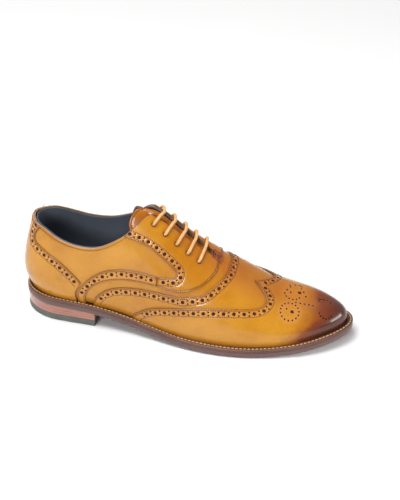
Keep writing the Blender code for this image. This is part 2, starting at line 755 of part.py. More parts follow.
def cylinder(name, radius, low, high, x, y, sides=10):
    mesh = bpy.data.meshes.new(name)
    bm = bmesh.new()
    bmesh.ops.create_cone(
        bm, cap_ends=True, segments=sides, radius1=radius * MM, radius2=radius * MM, depth=(high - low) * MM
    )
    bm.to_mesh(mesh)
    bm.free()
    return mesh, world((x, y, (low + high) / 2))


def make_nails(layers):
    for number, (x, y) in enumerate(NAILS, 1):
        mesh, at = cylinder("nail", NAIL, 0.2, TOP_PIECE + GAP + LIFT - 0.2, x, y)
        nail = link(f"heel_nail_{number}", mesh, BRASS, 0.35, 1.0)
        nail.location = at
        mesh, at = cylinder("nail_hole", NAIL + GAP, -1.0, TOP_PIECE + 2 * GAP + LIFT, x, y)
        cutter = link(f"nail_cutter_{number}", mesh, STEEL, collection=CUTTERS)
        cutter.location = at
        cutter.hide_render = True
        cutter.display_type = "WIRE"
        for layer in layers[:2]:
            cut = layer.modifiers.new(f"Nail {number}", "BOOLEAN")
            cut.operation = "DIFFERENCE"
            cut.object = cutter
            cut.solver = "EXACT"


# ---------------------------------------------------------------- lacing
EYELET_PROFILE = ((2.2, 2.2), (2.2, -0.6), (3.5, -0.6), (3.5, -1.0), (1.7, -1.0), (1.7, 2.2))
LACE_RADIUS = 1.3
LACE_UNDER = -2.7
LACE_OVER = 5.7
AGLET = 17.5


def make_eyelets():
    mesh = bpy.data.meshes.new("eyelet")
    count = len(EYELET_PROFILE)
    mesh.from_pydata(
        [(r * MM, 0, z * MM) for r, z in EYELET_PROFILE], [(k, (k + 1) % count) for k in range(count)], []
    )
    for side, half in ((-1, "outer"), (1, "inner")):
        for number, (x, t) in enumerate(EYELETS, 1):
            column, row = (float(v) for v in grid_place(x, t))
            base = Vector(place(side, column, row, 0.0))
            out = Vector(place(side, column, row, 1.0)) - base
            eyelet = link(f"eyelet_{half}_{number}", mesh.copy(), BLACK_LACQUER, 0.4, 1.0)
            eyelet.location = world(base)
            eyelet.rotation_euler = out.to_track_quat("Z", "Y").to_euler()
            turn = eyelet.modifiers.new("Turn", "SCREW")
            turn.steps = turn.render_steps = 10
            turn.use_merge_vertices = True
            turn.merge_threshold = 1e-5


def lace_route():
    """(side, x, t, depth) points: five straight bars, with the rises between them inside."""
    route = [
        (-1, 128, 0.60, LACE_UNDER), (-1, 145, 0.595, LACE_UNDER), (-1, 160, 0.61, LACE_UNDER),
        (-1, 168, 0.65, LACE_UNDER), (-1, 170, 0.70, LACE_UNDER),
    ]
    side = -1
    for number in range(len(EYELETS) - 1, -1, -1):
        x, t = EYELETS[number]
        half = [(t, -1.5), (t, 1.0), (t, 3.4), (t + 0.03, 5.4), (0.857, LACE_OVER), (0.93, LACE_OVER)]
        route += [(side, x, place_t, depth) for place_t, depth in half]
        route.append((side, x, 1.0, 5.1))
        side = -side
        route += [(side, x, place_t, depth) for place_t, depth in half[::-1]]
        if number:
            ahead = EYELETS[number - 1]
            for share in (0.25, 0.75):
                route.append((side, x + share * (ahead[0] - x), t + share * (ahead[1] - t), LACE_UNDER))
    route += [
        (1, 119.5, 0.72, LACE_UNDER), (1, 123, 0.68, LACE_UNDER), (1, 143, 0.675, LACE_UNDER),
        (1, 158, 0.69, LACE_UNDER), (1, 166, 0.66, LACE_UNDER), (1, 160, 0.615, LACE_UNDER),
        (1, 145, 0.595, LACE_UNDER), (1, 128, 0.60, LACE_UNDER),
    ]
    return route


def tube(name, points, radius, colour, roughness):
    """A cord or a ferrule: a bevelled curve through millimetre points."""
    curve = bpy.data.curves.new(name, "CURVE")
    curve.dimensions = "3D"
    curve.bevel_depth = radius * MM
    curve.bevel_resolution = 2
    curve.use_fill_caps = True
    line = curve.splines.new("POLY")
    line.points.add(len(points) - 1)
    for point, at in zip(line.points, points):
        point.co = (*world(at), 1)
    return link(name, curve, colour, roughness)


def thinned(line, most_turn=0.25, most_step=8.0):
    """The line with points left out where it runs nearly straight."""
    kept = [line[0]]
    way = line[1] - line[0]
    for before, point, after in zip(line, line[1:], line[2:]):
        ahead = after - point
        turn = math.acos(min(1.0, float(way @ ahead) / float(np.linalg.norm(way) * np.linalg.norm(ahead))))
        if turn > most_turn or np.linalg.norm(after - kept[-1]) > most_step:
            kept.append(point)
            way = ahead
    return [*kept, line[-1]]


def make_lace():
    route = []
    for side, x, t, depth in lace_route():
        column, row = (float(v) for v in grid_place(x, t))
        route.append(place(side, column, row, depth))
    line = thinned(smooth(route))
    tube("lace", line, LACE_RADIUS, COTTON, 0.8)
    for name, end, before in (("aglet_outer", line[0], line[1]), ("aglet_inner", line[-1], line[-2])):
        way = (end - before) / np.linalg.norm(end - before)
        spots = [end + way * share for share in (GAP, AGLET / 2, AGLET)]
        tube(name, spots, LACE_RADIUS, AGLET_BROWN, 0.3)


make_upper()
make_tongue()
make_bottom()
HEEL_LAYERS = make_heel()
make_nails(HEEL_LAYERS)
make_eyelets()
make_lace()
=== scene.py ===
"""Looks of the brogued leather oxford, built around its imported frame.

Leather pieces are cut again from the same last and pattern lines as the CAD, this time on the smooth
last, with rounded edges, punched holes, stitches and a burnished finish.
"""

import functools
import json
import math

import bpy
import numpy as np
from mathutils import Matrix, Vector, kdtree
from mathutils.geometry import delaunay_2d_cdt

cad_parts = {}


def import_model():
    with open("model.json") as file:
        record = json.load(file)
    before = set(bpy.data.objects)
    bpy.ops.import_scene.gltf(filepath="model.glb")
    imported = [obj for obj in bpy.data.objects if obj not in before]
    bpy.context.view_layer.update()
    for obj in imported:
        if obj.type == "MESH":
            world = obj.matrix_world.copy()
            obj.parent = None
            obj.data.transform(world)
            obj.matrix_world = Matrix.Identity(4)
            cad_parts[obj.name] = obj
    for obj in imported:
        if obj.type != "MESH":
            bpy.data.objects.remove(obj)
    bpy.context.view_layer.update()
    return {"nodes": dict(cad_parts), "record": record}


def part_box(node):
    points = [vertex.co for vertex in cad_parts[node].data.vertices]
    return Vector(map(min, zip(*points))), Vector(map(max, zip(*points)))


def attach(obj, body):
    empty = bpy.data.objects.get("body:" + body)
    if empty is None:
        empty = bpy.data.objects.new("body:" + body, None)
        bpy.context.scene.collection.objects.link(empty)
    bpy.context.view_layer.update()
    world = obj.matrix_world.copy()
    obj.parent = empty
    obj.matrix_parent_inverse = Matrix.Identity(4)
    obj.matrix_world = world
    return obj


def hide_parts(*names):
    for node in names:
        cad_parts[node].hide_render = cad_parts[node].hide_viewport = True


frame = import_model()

MM = 0.001  # lengths below are in millimetres, measured from the heel's back as in the CAD
GAP = 0.3

# ---------------------------------------------------------------- sole plan and last
SOLE_LOW, SOLE_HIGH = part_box("outsole")
LENGTH = round((SOLE_HIGH.x - SOLE_LOW.x) / MM, 1)
OUTSOLE = 5.2
WELT = 3.1
FEATHER = OUTSOLE + 6.0

STATIONS = (0, 40, 75, 110, 150, 190, 225, 260, 308)
OUTER_HALF = (29, 33, 35, 39.5, 49, 54, 51, 42, 27)
INNER_HALF = (31, 33, 31, 29, 34.5, 44.5, 46.5, 40.5, 27)
CENTRE_Y = (0, 0, 0, 0, 0, 0, 0, 1, 4)
SOLE_Z = (15.2, 15.2, 13, 8, 2.4, 0.5, 0.25, 2.6, 9.5)
HEEL_ROUND = 36.0
TOE_ROUND = 50.0
END_POWER = 2.15

INSET_STATIONS = (0, 60, 120, 180, 260, 308)
OUTER_INSET = (7.2, 7.4, 9.0, 10.8, 11.0, 11)
INNER_INSET = (7.2, 7.2, 8.6, 10.2, 10.8, 11)
HEEL_INSET = 7.2
TOE_INSET = 11.0
TOE_RISE = 1.3
CREST_HEEL_X = 30.0
CREST_TOE_X = 268.0
CREST_X = (30, 60, 90, 122, 150, 177, 194, 223, 241, 259, 268)
CREST_Y = (0, 0, 0, 0, -1, -2.5, -3.5, -4, -3, -1, 0.5)
CREST_Z = (134, 132, 127, 115, 94, 74.5, 64, 46.5, 40.5, 37, 35)
CREST_TILT = (0, 0, 0, 1, 3, 4.5, 4.5, 2.5, 4.5, 3, 0)
BULGE_X = (0, 60, 110, 180, 260, 308)
BULGE = (6.2, 4.2, 2.2, 1.2, 0.8, 0.6)
BULGE_T = 0.13
SECTION_X = (0, 60, 120, 180, 240, 308)
SECTION_POWER = (2.0, 2.0, 1.95, 1.88, 1.95, 2.0)
TUCK = 9.0
TUCK_T = 0.1
TOE_SPRING = (259, 37)  # where the feather line starts to rise, and over what length

SKIN = 1.1
LINING_SKIN = 0.9
INNER = 1.2
OUTER = 2.6
CAP = 4.3
HEEL_TUCK = 1.4
STIFFENER = (-0.15, 0.7)
COLUMNS = 28
ROWS = 7


@functools.lru_cache(maxsize=None)
def bends(knots, values):
    """Second derivatives of the natural cubic through the knots."""
    step = np.diff(np.array(knots, float))
    count = len(knots)
    matrix = np.zeros((count, count))
    right = np.zeros(count)
    matrix[0, 0] = matrix[-1, -1] = 1
    for i in range(1, count - 1):
        matrix[i, i - 1 : i + 2] = step[i - 1], 2 * (step[i - 1] + step[i]), step[i]
        right[i] = 6 * ((values[i + 1] - values[i]) / step[i] - (values[i] - values[i - 1]) / step[i - 1])
    return np.linalg.solve(matrix, right)


def spline(knots, values, x):
    """The natural cubic through the knots."""
    bend = bends(tuple(knots), tuple(values))
    knots = np.asarray(knots, float)
    values = np.asarray(values, float)
    step = np.diff(knots)
    count = len(knots)
    x = np.asarray(x, float)
    i = np.clip(np.searchsorted(knots, x) - 1, 0, count - 2)
    h = step[i]
    a = (knots[i + 1] - x) / h
    b = (x - knots[i]) / h
    return a * values[i] + b * values[i + 1] + ((a**3 - a) * bend[i] + (b**3 - b) * bend[i + 1]) * h * h / 6


def round_ends(x, start, end):
    """1 along the middle, falling to 0 at the two ends as a superellipse does."""
    heel = np.clip((start + HEEL_ROUND - x) / HEEL_ROUND, 0, 1)
    toe = np.clip((x - end + TOE_ROUND) / TOE_ROUND, 0, 1)
    return ((1 - heel**END_POWER) * (1 - toe**END_POWER)) ** (1 / END_POWER)


def sole_z(x):
    return spline(STATIONS, SOLE_Z, x)


def feather_z(x):
    start, span = TOE_SPRING
    return sole_z(x) + FEATHER + TOE_RISE * np.clip((x - start) / span, 0, 1) ** 2


def outline_y(x, side, inset=0.0, start=0.0, end=LENGTH):
    """The sole's edge on one side, drawn in by inset and ending at start and end."""
    half = np.where(np.asarray(side) < 0, spline(STATIONS, OUTER_HALF, x), spline(STATIONS, INNER_HALF, x))
    return spline(STATIONS, CENTRE_Y, x) + side * (half - inset) * round_ends(x, start, end)


def last_point(side, x, t):
    """A point of the lining's inner face."""
    side = np.asarray(side, float)
    span = LENGTH - HEEL_INSET - TOE_INSET
    base_x = HEEL_INSET + span * x / LENGTH
    inset = np.where(
        side < 0, spline(INSET_STATIONS, OUTER_INSET, base_x), spline(INSET_STATIONS, INNER_INSET, base_x)
    )
    base_y = outline_y(base_x, side, inset, HEEL_INSET, LENGTH - TOE_INSET)
    base_z = feather_z(base_x)
    crest_x = CREST_HEEL_X + (CREST_TOE_X - CREST_HEEL_X) * x / LENGTH
    crest_y = spline(CREST_X, CREST_Y, crest_x)
    tilt = 4 * side * spline(CREST_X, CREST_TILT, crest_x)
    crest_z = spline(CREST_X, CREST_Z, crest_x)
    fall = spline(CREST_X, CREST_Z, crest_x + 0.5) - spline(CREST_X, CREST_Z, crest_x - 0.5)
    power = 2 / spline(SECTION_X, SECTION_POWER, x)
    tuck = np.clip(-np.asarray(t, float), 0, None) / TUCK_T * TUCK
    t = np.clip(t, 0, 1)
    angle = t * math.pi / 2
    across = np.cos(angle) ** power
    up = np.sin(angle) ** power
    away_x = base_x - crest_x
    away_y = base_y - crest_y
    reach = np.hypot(away_x, away_y)
    bump = spline(BULGE_X, BULGE, x) * t / BULGE_T * np.exp(1 - t / BULGE_T)
    out = across + (bump - tuck) / reach
    z = base_z + (crest_z - base_z) * up + tilt * t * t * (1 - t)
    z = z + fall * away_x * across * (1 - across) ** 2
    along = crest_x + away_x * out
    z = np.where(tuck > 0, feather_z(along), z)
    return np.stack([along, crest_y + away_y * out, z], -1)


EDGE_X = LENGTH * (1 - np.cos(np.pi * np.linspace(0, 1, 200))) / 2
MIDDLE = np.array([-SOLE_LOW.x / MM, outline_y(EDGE_X, -1).min() - SOLE_LOW.y / MM, 0.0])


def world(points):
    """Metres in the shoe's frame."""
    return (np.asarray(points, float) - MIDDLE) * MM


# ---------------------------------------------------------------- maps of the surfaces
BLEND = 0.4  # rows or columns from a seam over which the two sides' ways out are blended
TURN_UNDER = 0.3
TURN_OVER = 0.12


def unit(vectors):
    return vectors / np.maximum(np.linalg.norm(vectors, axis=-1, keepdims=True), 1e-12)


def grid_point(side, column, row):
    x = LENGTH * (1 - np.cos(np.pi * column / COLUMNS)) / 2
    return last_point(side, x, np.where(row < 0, row * TUCK_T, row / ROWS))


def side_normal(side, column, row):
    step = 0.02
    row = np.clip(row, 0, ROWS)
    c0 = np.clip(column - step, 0, COLUMNS - step)
    below = np.clip(row - step, 0, ROWS - step)
    off_crest = np.minimum(row, ROWS - 0.1)
    along = grid_point(side, c0 + step, off_crest) - grid_point(side, c0, off_crest)
    up = grid_point(side, column, below + step) - grid_point(side, column, below)
    return unit(np.cross(along, up) * -side[:, None])


def last_normal(side, column, row):
    """The way out for a depth, blended over the crest and the ends, with a mitre under the foot."""
    normal = side_normal(side, column, row)
    seam = np.minimum.reduce([ROWS - row, column, COLUMNS - column])
    near = seam < BLEND
    if near.any():
        share = (0.5 + 0.5 * np.clip(seam[near] / BLEND, 0, 1))[:, None]
        other = side_normal(-side[near], column[near], row[near])
        normal[near] = unit(share * normal[near] + (1 - share) * other)
    out = np.clip(1 + row / TURN_UNDER, 0, 1)[:, None]
    down = np.clip(1 - row / TURN_OVER, 0, 1)[:, None]
    return out * normal + down * np.array([0.0, 0.0, -1.0])


def grid_place(x, t):
    """Column and row of a place, as fractions."""
    column = COLUMNS * np.arccos(np.clip(1 - 2 * np.asarray(x, float) / LENGTH, -1, 1)) / np.pi
    t = np.asarray(t, float)
    return column, np.where(t < 0, t / TUCK_T, t * ROWS)


def depth_at(depth, x):
    """A depth, which may change along the shoe."""
    return depth(x) if callable(depth) else depth


class Last:
    """A flat map of the last. Over the crest it joins the halves at the crest, else round the heel."""

    spacing = 0.125

    def __init__(self, over_crest):
        self.over_crest = over_crest

    def flat(self, side, column, row):
        if self.over_crest:
            return np.stack([column, side * (ROWS - row)], -1)
        return np.stack([side * column, row], -1)

    def back(self, ab):
        a, b = ab[:, 0], ab[:, 1]
        if self.over_crest:
            return np.where(b < 0, -1.0, 1.0), np.clip(a, 0, COLUMNS), np.clip(ROWS - abs(b), -1, ROWS)
        return np.where(a < 0, -1.0, 1.0), np.clip(abs(a), 0, COLUMNS), np.clip(b, -1, ROWS)

    def lay(self, ab, depth):
        side, column, row = self.back(ab)
        depth = np.broadcast_to(depth_at(depth, self.x(ab)), column.shape)[:, None]
        return grid_point(side, column, row) + last_normal(side, column, row) * depth

    def x(self, ab):
        _, column, _ = self.back(ab)
        return LENGTH * (1 - np.cos(np.pi * column / COLUMNS)) / 2

    def spot(self, side, x, t):
        """The map point of a place."""
        return self.flat(np.array([side]), *grid_place([x], [t]))[0]

    def trace(self, side, points):
        """Dense points of a smooth line through (x, t) points."""
        columns, rows = grid_place(*zip(*points))
        line = smooth(np.stack([columns, rows], -1), 12 if len(points) > 2 else 40)
        return self.flat(side, line[:, 0], line[:, 1])


class Tongue(Last):
    """The last's map for the tongue, which stands up into the opening between the facings."""

    lift = 4.4
    row_from, rows_over = 5.9, 0.7  # where it starts to rise across the shoe, and over what stretch
    x_from, x_over = 106, 20

    def lay(self, ab, depth):
        _, _, row = self.back(ab)
        ahead = np.clip((self.x(ab) - self.x_from) / self.x_over, 0, 1)
        share = np.clip((row - self.row_from) / self.rows_over, 0, 1) * ahead
        depth = np.broadcast_to(depth, row.shape) + self.lift * share * share * (3 - 2 * share)
        return super().lay(ab, depth)


class Plan:
    """A flat map of a sole layer: x and y in millimetres, with heights over a lower face."""

    spacing = 2.4

    def __init__(self, floor):
        self.floor = floor

    def lay(self, ab, depth):
        x = ab[:, 0]
        return np.stack([x, ab[:, 1], self.floor(x) + np.broadcast_to(depth_at(depth, x), x.shape)], -1)

    def x(self, ab):
        return ab[:, 0]


CREST = Last(True)
HEEL = Last(False)
TONGUE = Tongue(True)


def smooth(points, spans):
    """A Catmull-Rom curve through the points; two points make a straight line."""
    p = np.asarray(points, float)
    p = np.vstack([2 * p[0] - p[1], p, 2 * p[-1] - p[-2]])
    s = np.arange(spans)[:, None] / spans
    runs = []
    for i in range(1, len(p) - 2):
        a = 2 * p[i]
        b = (p[i + 1] - p[i - 1]) * s
        c = (2 * p[i - 1] - 5 * p[i] + 4 * p[i + 1] - p[i + 2]) * s * s
        d = (3 * p[i] - p[i - 1] - 3 * p[i + 1] + p[i + 2]) * s**3
        runs.append((a + b + c + d) / 2)
    return np.vstack([*runs, p[-2:-1]])


def lengths(chart, line, depth=OUTER):
    """Distance along a line of the map, in millimetres."""
    steps = np.linalg.norm(np.diff(chart.lay(line, depth), axis=0), axis=1)
    return np.concatenate([[0], np.cumsum(steps)])


def respaced(chart, line, step, depth=OUTER):
    """The line with its points an even distance apart, ends kept."""
    along = lengths(chart, line, depth)
    count = max(1, round(along[-1] / step))
    wanted = np.linspace(0, along[-1], count + 1)
    return np.stack([np.interp(wanted, along, line[:, k]) for k in (0, 1)], -1)


def jacobian(chart, ab, depth=OUTER):
    h = 0.004
    step_a, step_b = np.array([h, 0.0]), np.array([0.0, h])
    da = (chart.lay(ab + step_a, depth) - chart.lay(ab - step_a, depth)) / (2 * h)
    db = (chart.lay(ab + step_b, depth) - chart.lay(ab - step_b, depth)) / (2 * h)
    return np.stack([da, db], -1)


def to_map(chart, ab, vectors, depth=OUTER):
    """Map steps that move by these vectors along the surface."""
    j = jacobian(chart, ab, depth)
    metric = np.einsum("nki,nkj->nij", j, j)
    metric = metric + 1e-4 * np.trace(metric, axis1=1, axis2=2)[:, None, None] * np.eye(2)
    return np.linalg.solve(metric, np.einsum("nki,nk->ni", j, vectors)[..., None])[..., 0]


LONGEST_MOVE = 1.2


def beside(chart, line, distance, closed=False, depth=OUTER):
    """The line moved to its left on the map by a distance in millimetres."""
    steps = max(1, int(math.ceil(abs(distance) / LONGEST_MOVE)))
    for _ in range(steps):
        if closed:
            before, after = np.roll(line, 1, axis=0), np.roll(line, -1, axis=0)
        else:
            before = np.vstack([2 * line[0] - line[1], line[:-1]])
            after = np.vstack([line[1:], 2 * line[-1] - line[-2]])
        way = after - before
        left = np.stack([-way[:, 1], way[:, 0]], -1)
        j = jacobian(chart, line, depth)
        tangent = unit(np.einsum("nki,ni->nk", j, way))
        normal = unit(np.cross(j[..., 0], j[..., 1]))
        move = to_map(chart, line, np.cross(normal, tangent) * distance / steps, depth)
        flip = np.sign(np.sum(move * left, axis=1)) * np.sign(distance)
        line = line + move * flip[:, None]
    return line


def millimetres(chart, places, depth=OUTER):
    """At each place, the two map steps that go a millimetre along the surface at right angles."""
    j = jacobian(chart, places, depth)
    first = unit(j[..., 0])
    second = unit(j[..., 1] - first * np.sum(j[..., 1] * first, axis=1)[:, None])
    return to_map(chart, places, first, depth), to_map(chart, places, second, depth)


def circle(centre, steps, radius, sides):
    angle = 2 * math.pi * np.arange(sides)[:, None] / sides
    return centre + radius * (np.cos(angle) * steps[0] + np.sin(angle) * steps[1])


def ring(chart, centre, radius, sides, depth=OUTER):
    """A round hole on the map, as seen on the surface."""
    first, second = millimetres(chart, centre[None], depth)
    return circle(centre, (first[0], second[0]), radius, sides)


def inside(loop, points):
    """Which points are inside a closed loop."""
    found = np.zeros(len(points), bool)
    a, b = points[:, 0], points[:, 1]
    for (a0, b0), (a1, b1) in zip(loop, np.roll(loop, -1, axis=0)):
        if b0 != b1:
            crossing = ((b0 > b) != (b1 > b)) & (a < a0 + (b - b0) / (b1 - b0) * (a1 - a0))
            found ^= crossing
    return found


def distance_to(tree, points, most):
    """Distance from each point to the tree's nearest, at most a limit."""
    if tree is None:
        return np.full(len(points), most)
    return np.minimum([tree.find(p)[2] for p in points], most)


def tree_of(points):
    tree = kdtree.KDTree(len(points))
    for k, point in enumerate(points):
        tree.insert(point, k)
    tree.balance()
    return tree


# ---------------------------------------------------------------- pieces
EDGE_RINGS = (0.22, 0.6, 1.3)  # rings of vertices inside an edge
EDGE_ROUND = 0.75  # how far in the rounding of an edge reaches
GROOVE = 0.45
GROOVE_DEPTH = 0.16
GROOVE_HALF = 0.4
BIG_PIT = 1.7
SMALL_PIT = 0.82
PIT_RINGS = (0.3, 0.0, -0.2)  # rings of vertices round a pit's wall
PIT_DEPTH = 0.85
LIP = 0.1  # half the width and the depth of a pit's lip
# share of a pit's darkness (ink and painted shade) that its lip gets
LIP_INK_AND_SHADE = 0.6
REACH = 6.0  # how far from an edge a vertex still knows its distance
OUTLINE_STEP = 1.5
ROW_STEP = 1.2
NEAR_STEP = 0.3
SHARP = math.radians(40)
CLOSED = ("toe", "closed")  # stretches where the leather runs on, so that no edge shows


def joined_ends(first, second):
    return np.linalg.norm(first[-1] - second[0]) < 1e-6


class Pattern:
    """A closed outline: stretches in order, each a name and a line on the map."""

    def __init__(self, chart, stretches):
        self.chart = chart
        self.names = [name for name, _ in stretches]
        self.lines = [respaced(chart, line, OUTLINE_STEP) for _, line in stretches]
        loop = np.vstack([line[:-1] for line in self.lines])
        if np.sum(loop[:, 0] * np.roll(loop[:, 1], -1) - loop[:, 1] * np.roll(loop[:, 0], -1)) < 0:
            self.lines = [line[::-1] for line in self.lines[::-1]]
            self.names = self.names[::-1]
        self.loop = np.vstack([line[:-1] for line in self.lines])

    def runs(self, name, joined=True):
        """The outline's runs of this name, joined where one follows another without a corner."""
        found = [line for n, line in zip(self.names, self.lines) if n == name]
        if joined and len(found) == 2:
            for first, second in (found[::-1], found):
                if joined_ends(first, second):
                    return [np.vstack([first, second[1:]])]
        return found

    def row(self, name, distance, joined=True):
        """Lines inside the outline, at a distance from its runs of this name."""
        found = []
        for run in self.runs(name, joined):
            line = beside(self.chart, run, distance)
            if not joined:  # each keeps to its own half
                line = line[np.sign(line[:, 1]) == np.sign(run[len(run) // 2, 1])]
            found.append(respaced(self.chart, line, ROW_STEP))
        return found


def both(chart, half):
    """Stretches of a piece that crosses the middle, from its outer half's."""
    flip = np.array([1, -1]) if chart.over_crest else np.array([-1, 1])
    return half + [(name, (line * flip)[::-1]) for name, line in half[::-1]]


def line_of(chart, side, *stretches):
    return [(name, chart.trace(side, points)) for name, points in stretches]


def mirrored(chart, *stretches):
    return Pattern(chart, both(chart, line_of(chart, -1, *stretches)))


def closed_line(loop):
    return np.vstack([loop, loop[:1]])


def closed_toe(spots, faces):
    """The faces, with the vertices of the two halves made one where they meet at the toe's end."""
    twin = np.arange(len(spots))
    at_end = np.flatnonzero(spots[:, 0] > COLUMNS - 1e-4)
    inner = at_end[spots[at_end, 1] > 0]
    for k in at_end[spots[at_end, 1] < 0]:
        twin[k] = inner[np.argmin(abs(spots[inner, 1] + spots[k, 1]))]
    faces = twin[faces]
    return faces[(faces != np.roll(faces, 1, axis=1)).all(axis=1)]


def guides(pattern, over, rows, pits, holes, rings):
    """The lines that a piece's triangles follow: its outline, holes, edge rings, grooves and pits."""
    chart, loop = pattern.chart, pattern.loop
    lines = [closed_line(line) for line in (loop, *holes)]
    middle = over(chart.x(loop)).mean() if callable(over) else over
    lines += [beside(chart, loop, distance, True, middle) for distance in rings]
    for row in rows:
        lines += [row, beside(chart, row, GROOVE), beside(chart, row, -GROOVE)]
    if pits:
        steps = zip(*millimetres(chart, np.array([centre for centre, _ in pits])))
        for (centre, radius), step in zip(pits, steps):
            sides = 12 if radius == BIG_PIT else 8
            lines += [closed_line(circle(centre, step, radius + out, sides)) for out in PIT_RINGS]
    return lines


def net(pattern, lines, holes, spacing):
    """Map points and triangles that fill the outline and follow the lines."""
    loop = pattern.loop
    fixed = np.vstack(lines)
    spans = [np.arange(low - spacing / 2, high, spacing) for low, high in zip(loop.min(0), loop.max(0))]
    grid = np.stack(np.meshgrid(*spans), -1).reshape(-1, 2)
    grid = grid[inside(loop, grid)]
    tree = tree_of(np.hstack([fixed, np.zeros((len(fixed), 1))]))
    clear = distance_to(tree, np.hstack([grid, np.zeros((len(grid), 1))]), spacing)
    grid = grid[clear > 0.55 * spacing]
    edges = []
    first = 0
    for line in lines:
        edges += [(first + k, first + k + 1) for k in range(len(line) - 1)]
        first += len(line)
    found = delaunay_2d_cdt([Vector(p) for p in np.vstack([fixed, grid])], edges, [], 0, 1e-5)
    spots = np.array([tuple(v) for v in found[0]])
    faces = np.array([face for face in found[2] if len(face) == 3])
    centres = spots[faces].mean(1)
    keep = inside(loop, centres)
    for hole in holes:
        keep &= ~inside(hole, centres)
    faces = faces[keep]
    if "toe" in pattern.names:
        faces = closed_toe(spots, faces)
    used, faces = np.unique(faces, return_inverse=True)
    return spots[used], faces.reshape(-1, 3)


def closed_body(top, bottom, faces, wall):
    """Points and polygons of the solid between two like nets. Each row of the wall is a share of the
    way down and how far out it stands."""
    directed = np.vstack([faces[:, [0, 1]], faces[:, [1, 2]], faces[:, [2, 0]]])
    edges = {tuple(edge) for edge in directed.tolist()}
    rim = np.array(sorted((a, b) for a, b in edges if (b, a) not in edges))
    a, b = rim.T
    corners = top[faces[0]]
    normal = np.cross(corners[1] - corners[0], corners[2] - corners[0])
    outward = normal @ (corners.mean(0) - bottom[faces[0]].mean(0)) > 0
    count = len(top)
    points = [top, bottom]
    levels = [np.arange(count)]
    if wall:
        push = np.cross(top[b] - top[a], unit(top[a] - bottom[a])) * (1 if outward else -1)
        out = np.zeros_like(top)
        np.add.at(out, a, push)
        np.add.at(out, b, push)
        used = np.unique(rim)
        for number, (share, reach) in enumerate(wall):
            level = np.zeros(count, int)
            level[used] = 2 * count + number * len(used) + np.arange(len(used))
            levels.append(level)
            points.append(top[used] + (bottom[used] - top[used]) * share + unit(out[used]) * reach)
    levels.append(np.arange(count) + count)
    sides = [np.stack([up[b], up[a], low[a], low[b]], -1) for up, low in zip(levels, levels[1:])]
    polygons = [*faces.tolist(), *(faces[:, ::-1] + count).tolist(), *np.vstack(sides).tolist()]
    if not outward:
        polygons = [polygon[::-1] for polygon in polygons]
    return np.vstack(points), polygons


def solid(name, points, polygons):
    """A smooth object from points in millimetres."""
    mesh = bpy.data.meshes.new(name)
    mesh.from_pydata(world(points).tolist(), [], polygons)
    mesh.shade_smooth()
    thing = bpy.data.objects.new(name, mesh)
    bpy.context.scene.collection.objects.link(thing)
    return thing


def mark(thing, name, values):
    """A value at each vertex, for the material to read."""
    layer = thing.data.attributes.new(name, "FLOAT", "POINT")
    layer.data.foreach_set("value", np.asarray(values, np.float32))


def nearness(chart, lines, depth, where, step=NEAR_STEP):
    """Distance from each place to the nearest of the lines."""
    dense = np.vstack([respaced(chart, line, step) for line in lines])
    return distance_to(tree_of(chart.lay(dense, depth)), where, REACH)


def shell(name, pattern, under, over, rows=(), pits=(), holes=(), soft=0.45, under_soft=0.0,
          rings=EDGE_RINGS, spacing=None, wall=(), pale=None):
    """A closed piece between two depths, with softened edges, stitched grooves and punched pits."""
    chart = pattern.chart
    lines = guides(pattern, over, rows, pits, holes, rings)
    spots, faces = net(pattern, lines, holes, spacing or chart.spacing)
    where = chart.lay(spots, over)
    shown = [line for stretch, line in zip(pattern.names, pattern.lines) if stretch not in CLOSED]
    edge = nearness(chart, shown + [closed_line(hole) for hole in holes], over, where, 0.25)
    rounding = np.clip(1 - edge / EDGE_ROUND, 0, 1) ** 2
    drop = soft * rounding
    if rows:
        stitch = nearness(chart, rows, over, where)
        drop = drop + GROOVE_DEPTH * np.exp(-((stitch / GROOVE_HALF) ** 2))
    pit_ink_and_shade = np.zeros(len(spots))
    punch = np.full(len(spots), REACH)
    if pits:
        centres = tree_of(chart.lay(np.array([centre for centre, _ in pits]), over))
        found = [centres.find(place) for place in where]
        gap = np.array([distance for _, _, distance in found])
        radius = np.array([pits[index][1] for _, index, _ in found])
        # pit floors and lips are marked dark: ink on the cut, and painted shade for the depth of the hole
        pit = gap < radius - LIP
        lip = (gap < radius + LIP) & ~pit
        drop = drop + pit * np.minimum(PIT_DEPTH, radius) + lip * LIP
        pit_ink_and_shade = pit + lip * LIP_INK_AND_SHADE
        punch = np.minimum(gap, REACH)
    span = np.linalg.norm(where - chart.lay(spots, under), axis=1)
    drop = np.minimum(drop, 0.85 * span)
    x = chart.x(spots)
    top = chart.lay(spots, depth_at(over, x) - drop)
    bottom = chart.lay(spots, depth_at(under, x) + under_soft * rounding)
    points, polygons = closed_body(top, bottom, faces, wall)
    thing = solid(name, points, polygons)
    thing.data.set_sharp_from_angle(angle=SHARP)

    count = len(spots)
    rest = len(points) - 2 * count
    mark(thing, "edge", np.concatenate([edge, edge, np.zeros(rest)]))
    # the pits' darkness, ink and painted shade, on the top face only
    mark(thing, "pit_ink_and_shade", np.concatenate([pit_ink_and_shade, np.zeros(count + rest)]))
    mark(thing, "punch", np.concatenate([punch, punch, np.full(rest, REACH)]))
    mark(thing, "under", np.concatenate([np.zeros(count), np.ones(count), np.zeros(rest)]))
    near = nearness(chart, pattern.runs(pale), over, where) if pale else np.full(count, REACH)
    mark(thing, "pale", np.concatenate([near, near, np.full(rest, 0.0 if pale else REACH)]))
    return thing


THREAD_RINGS = ((-0.5, -0.2, 0.12), (-0.42, 0.02, 0.2), (-0.15, 0.12, 0.25), (0.15, 0.12, 0.25),
                (0.42, 0.02, 0.2), (0.5, -0.2, 0.12))  # shares along, heights and radii
THREAD_SIDES = 6


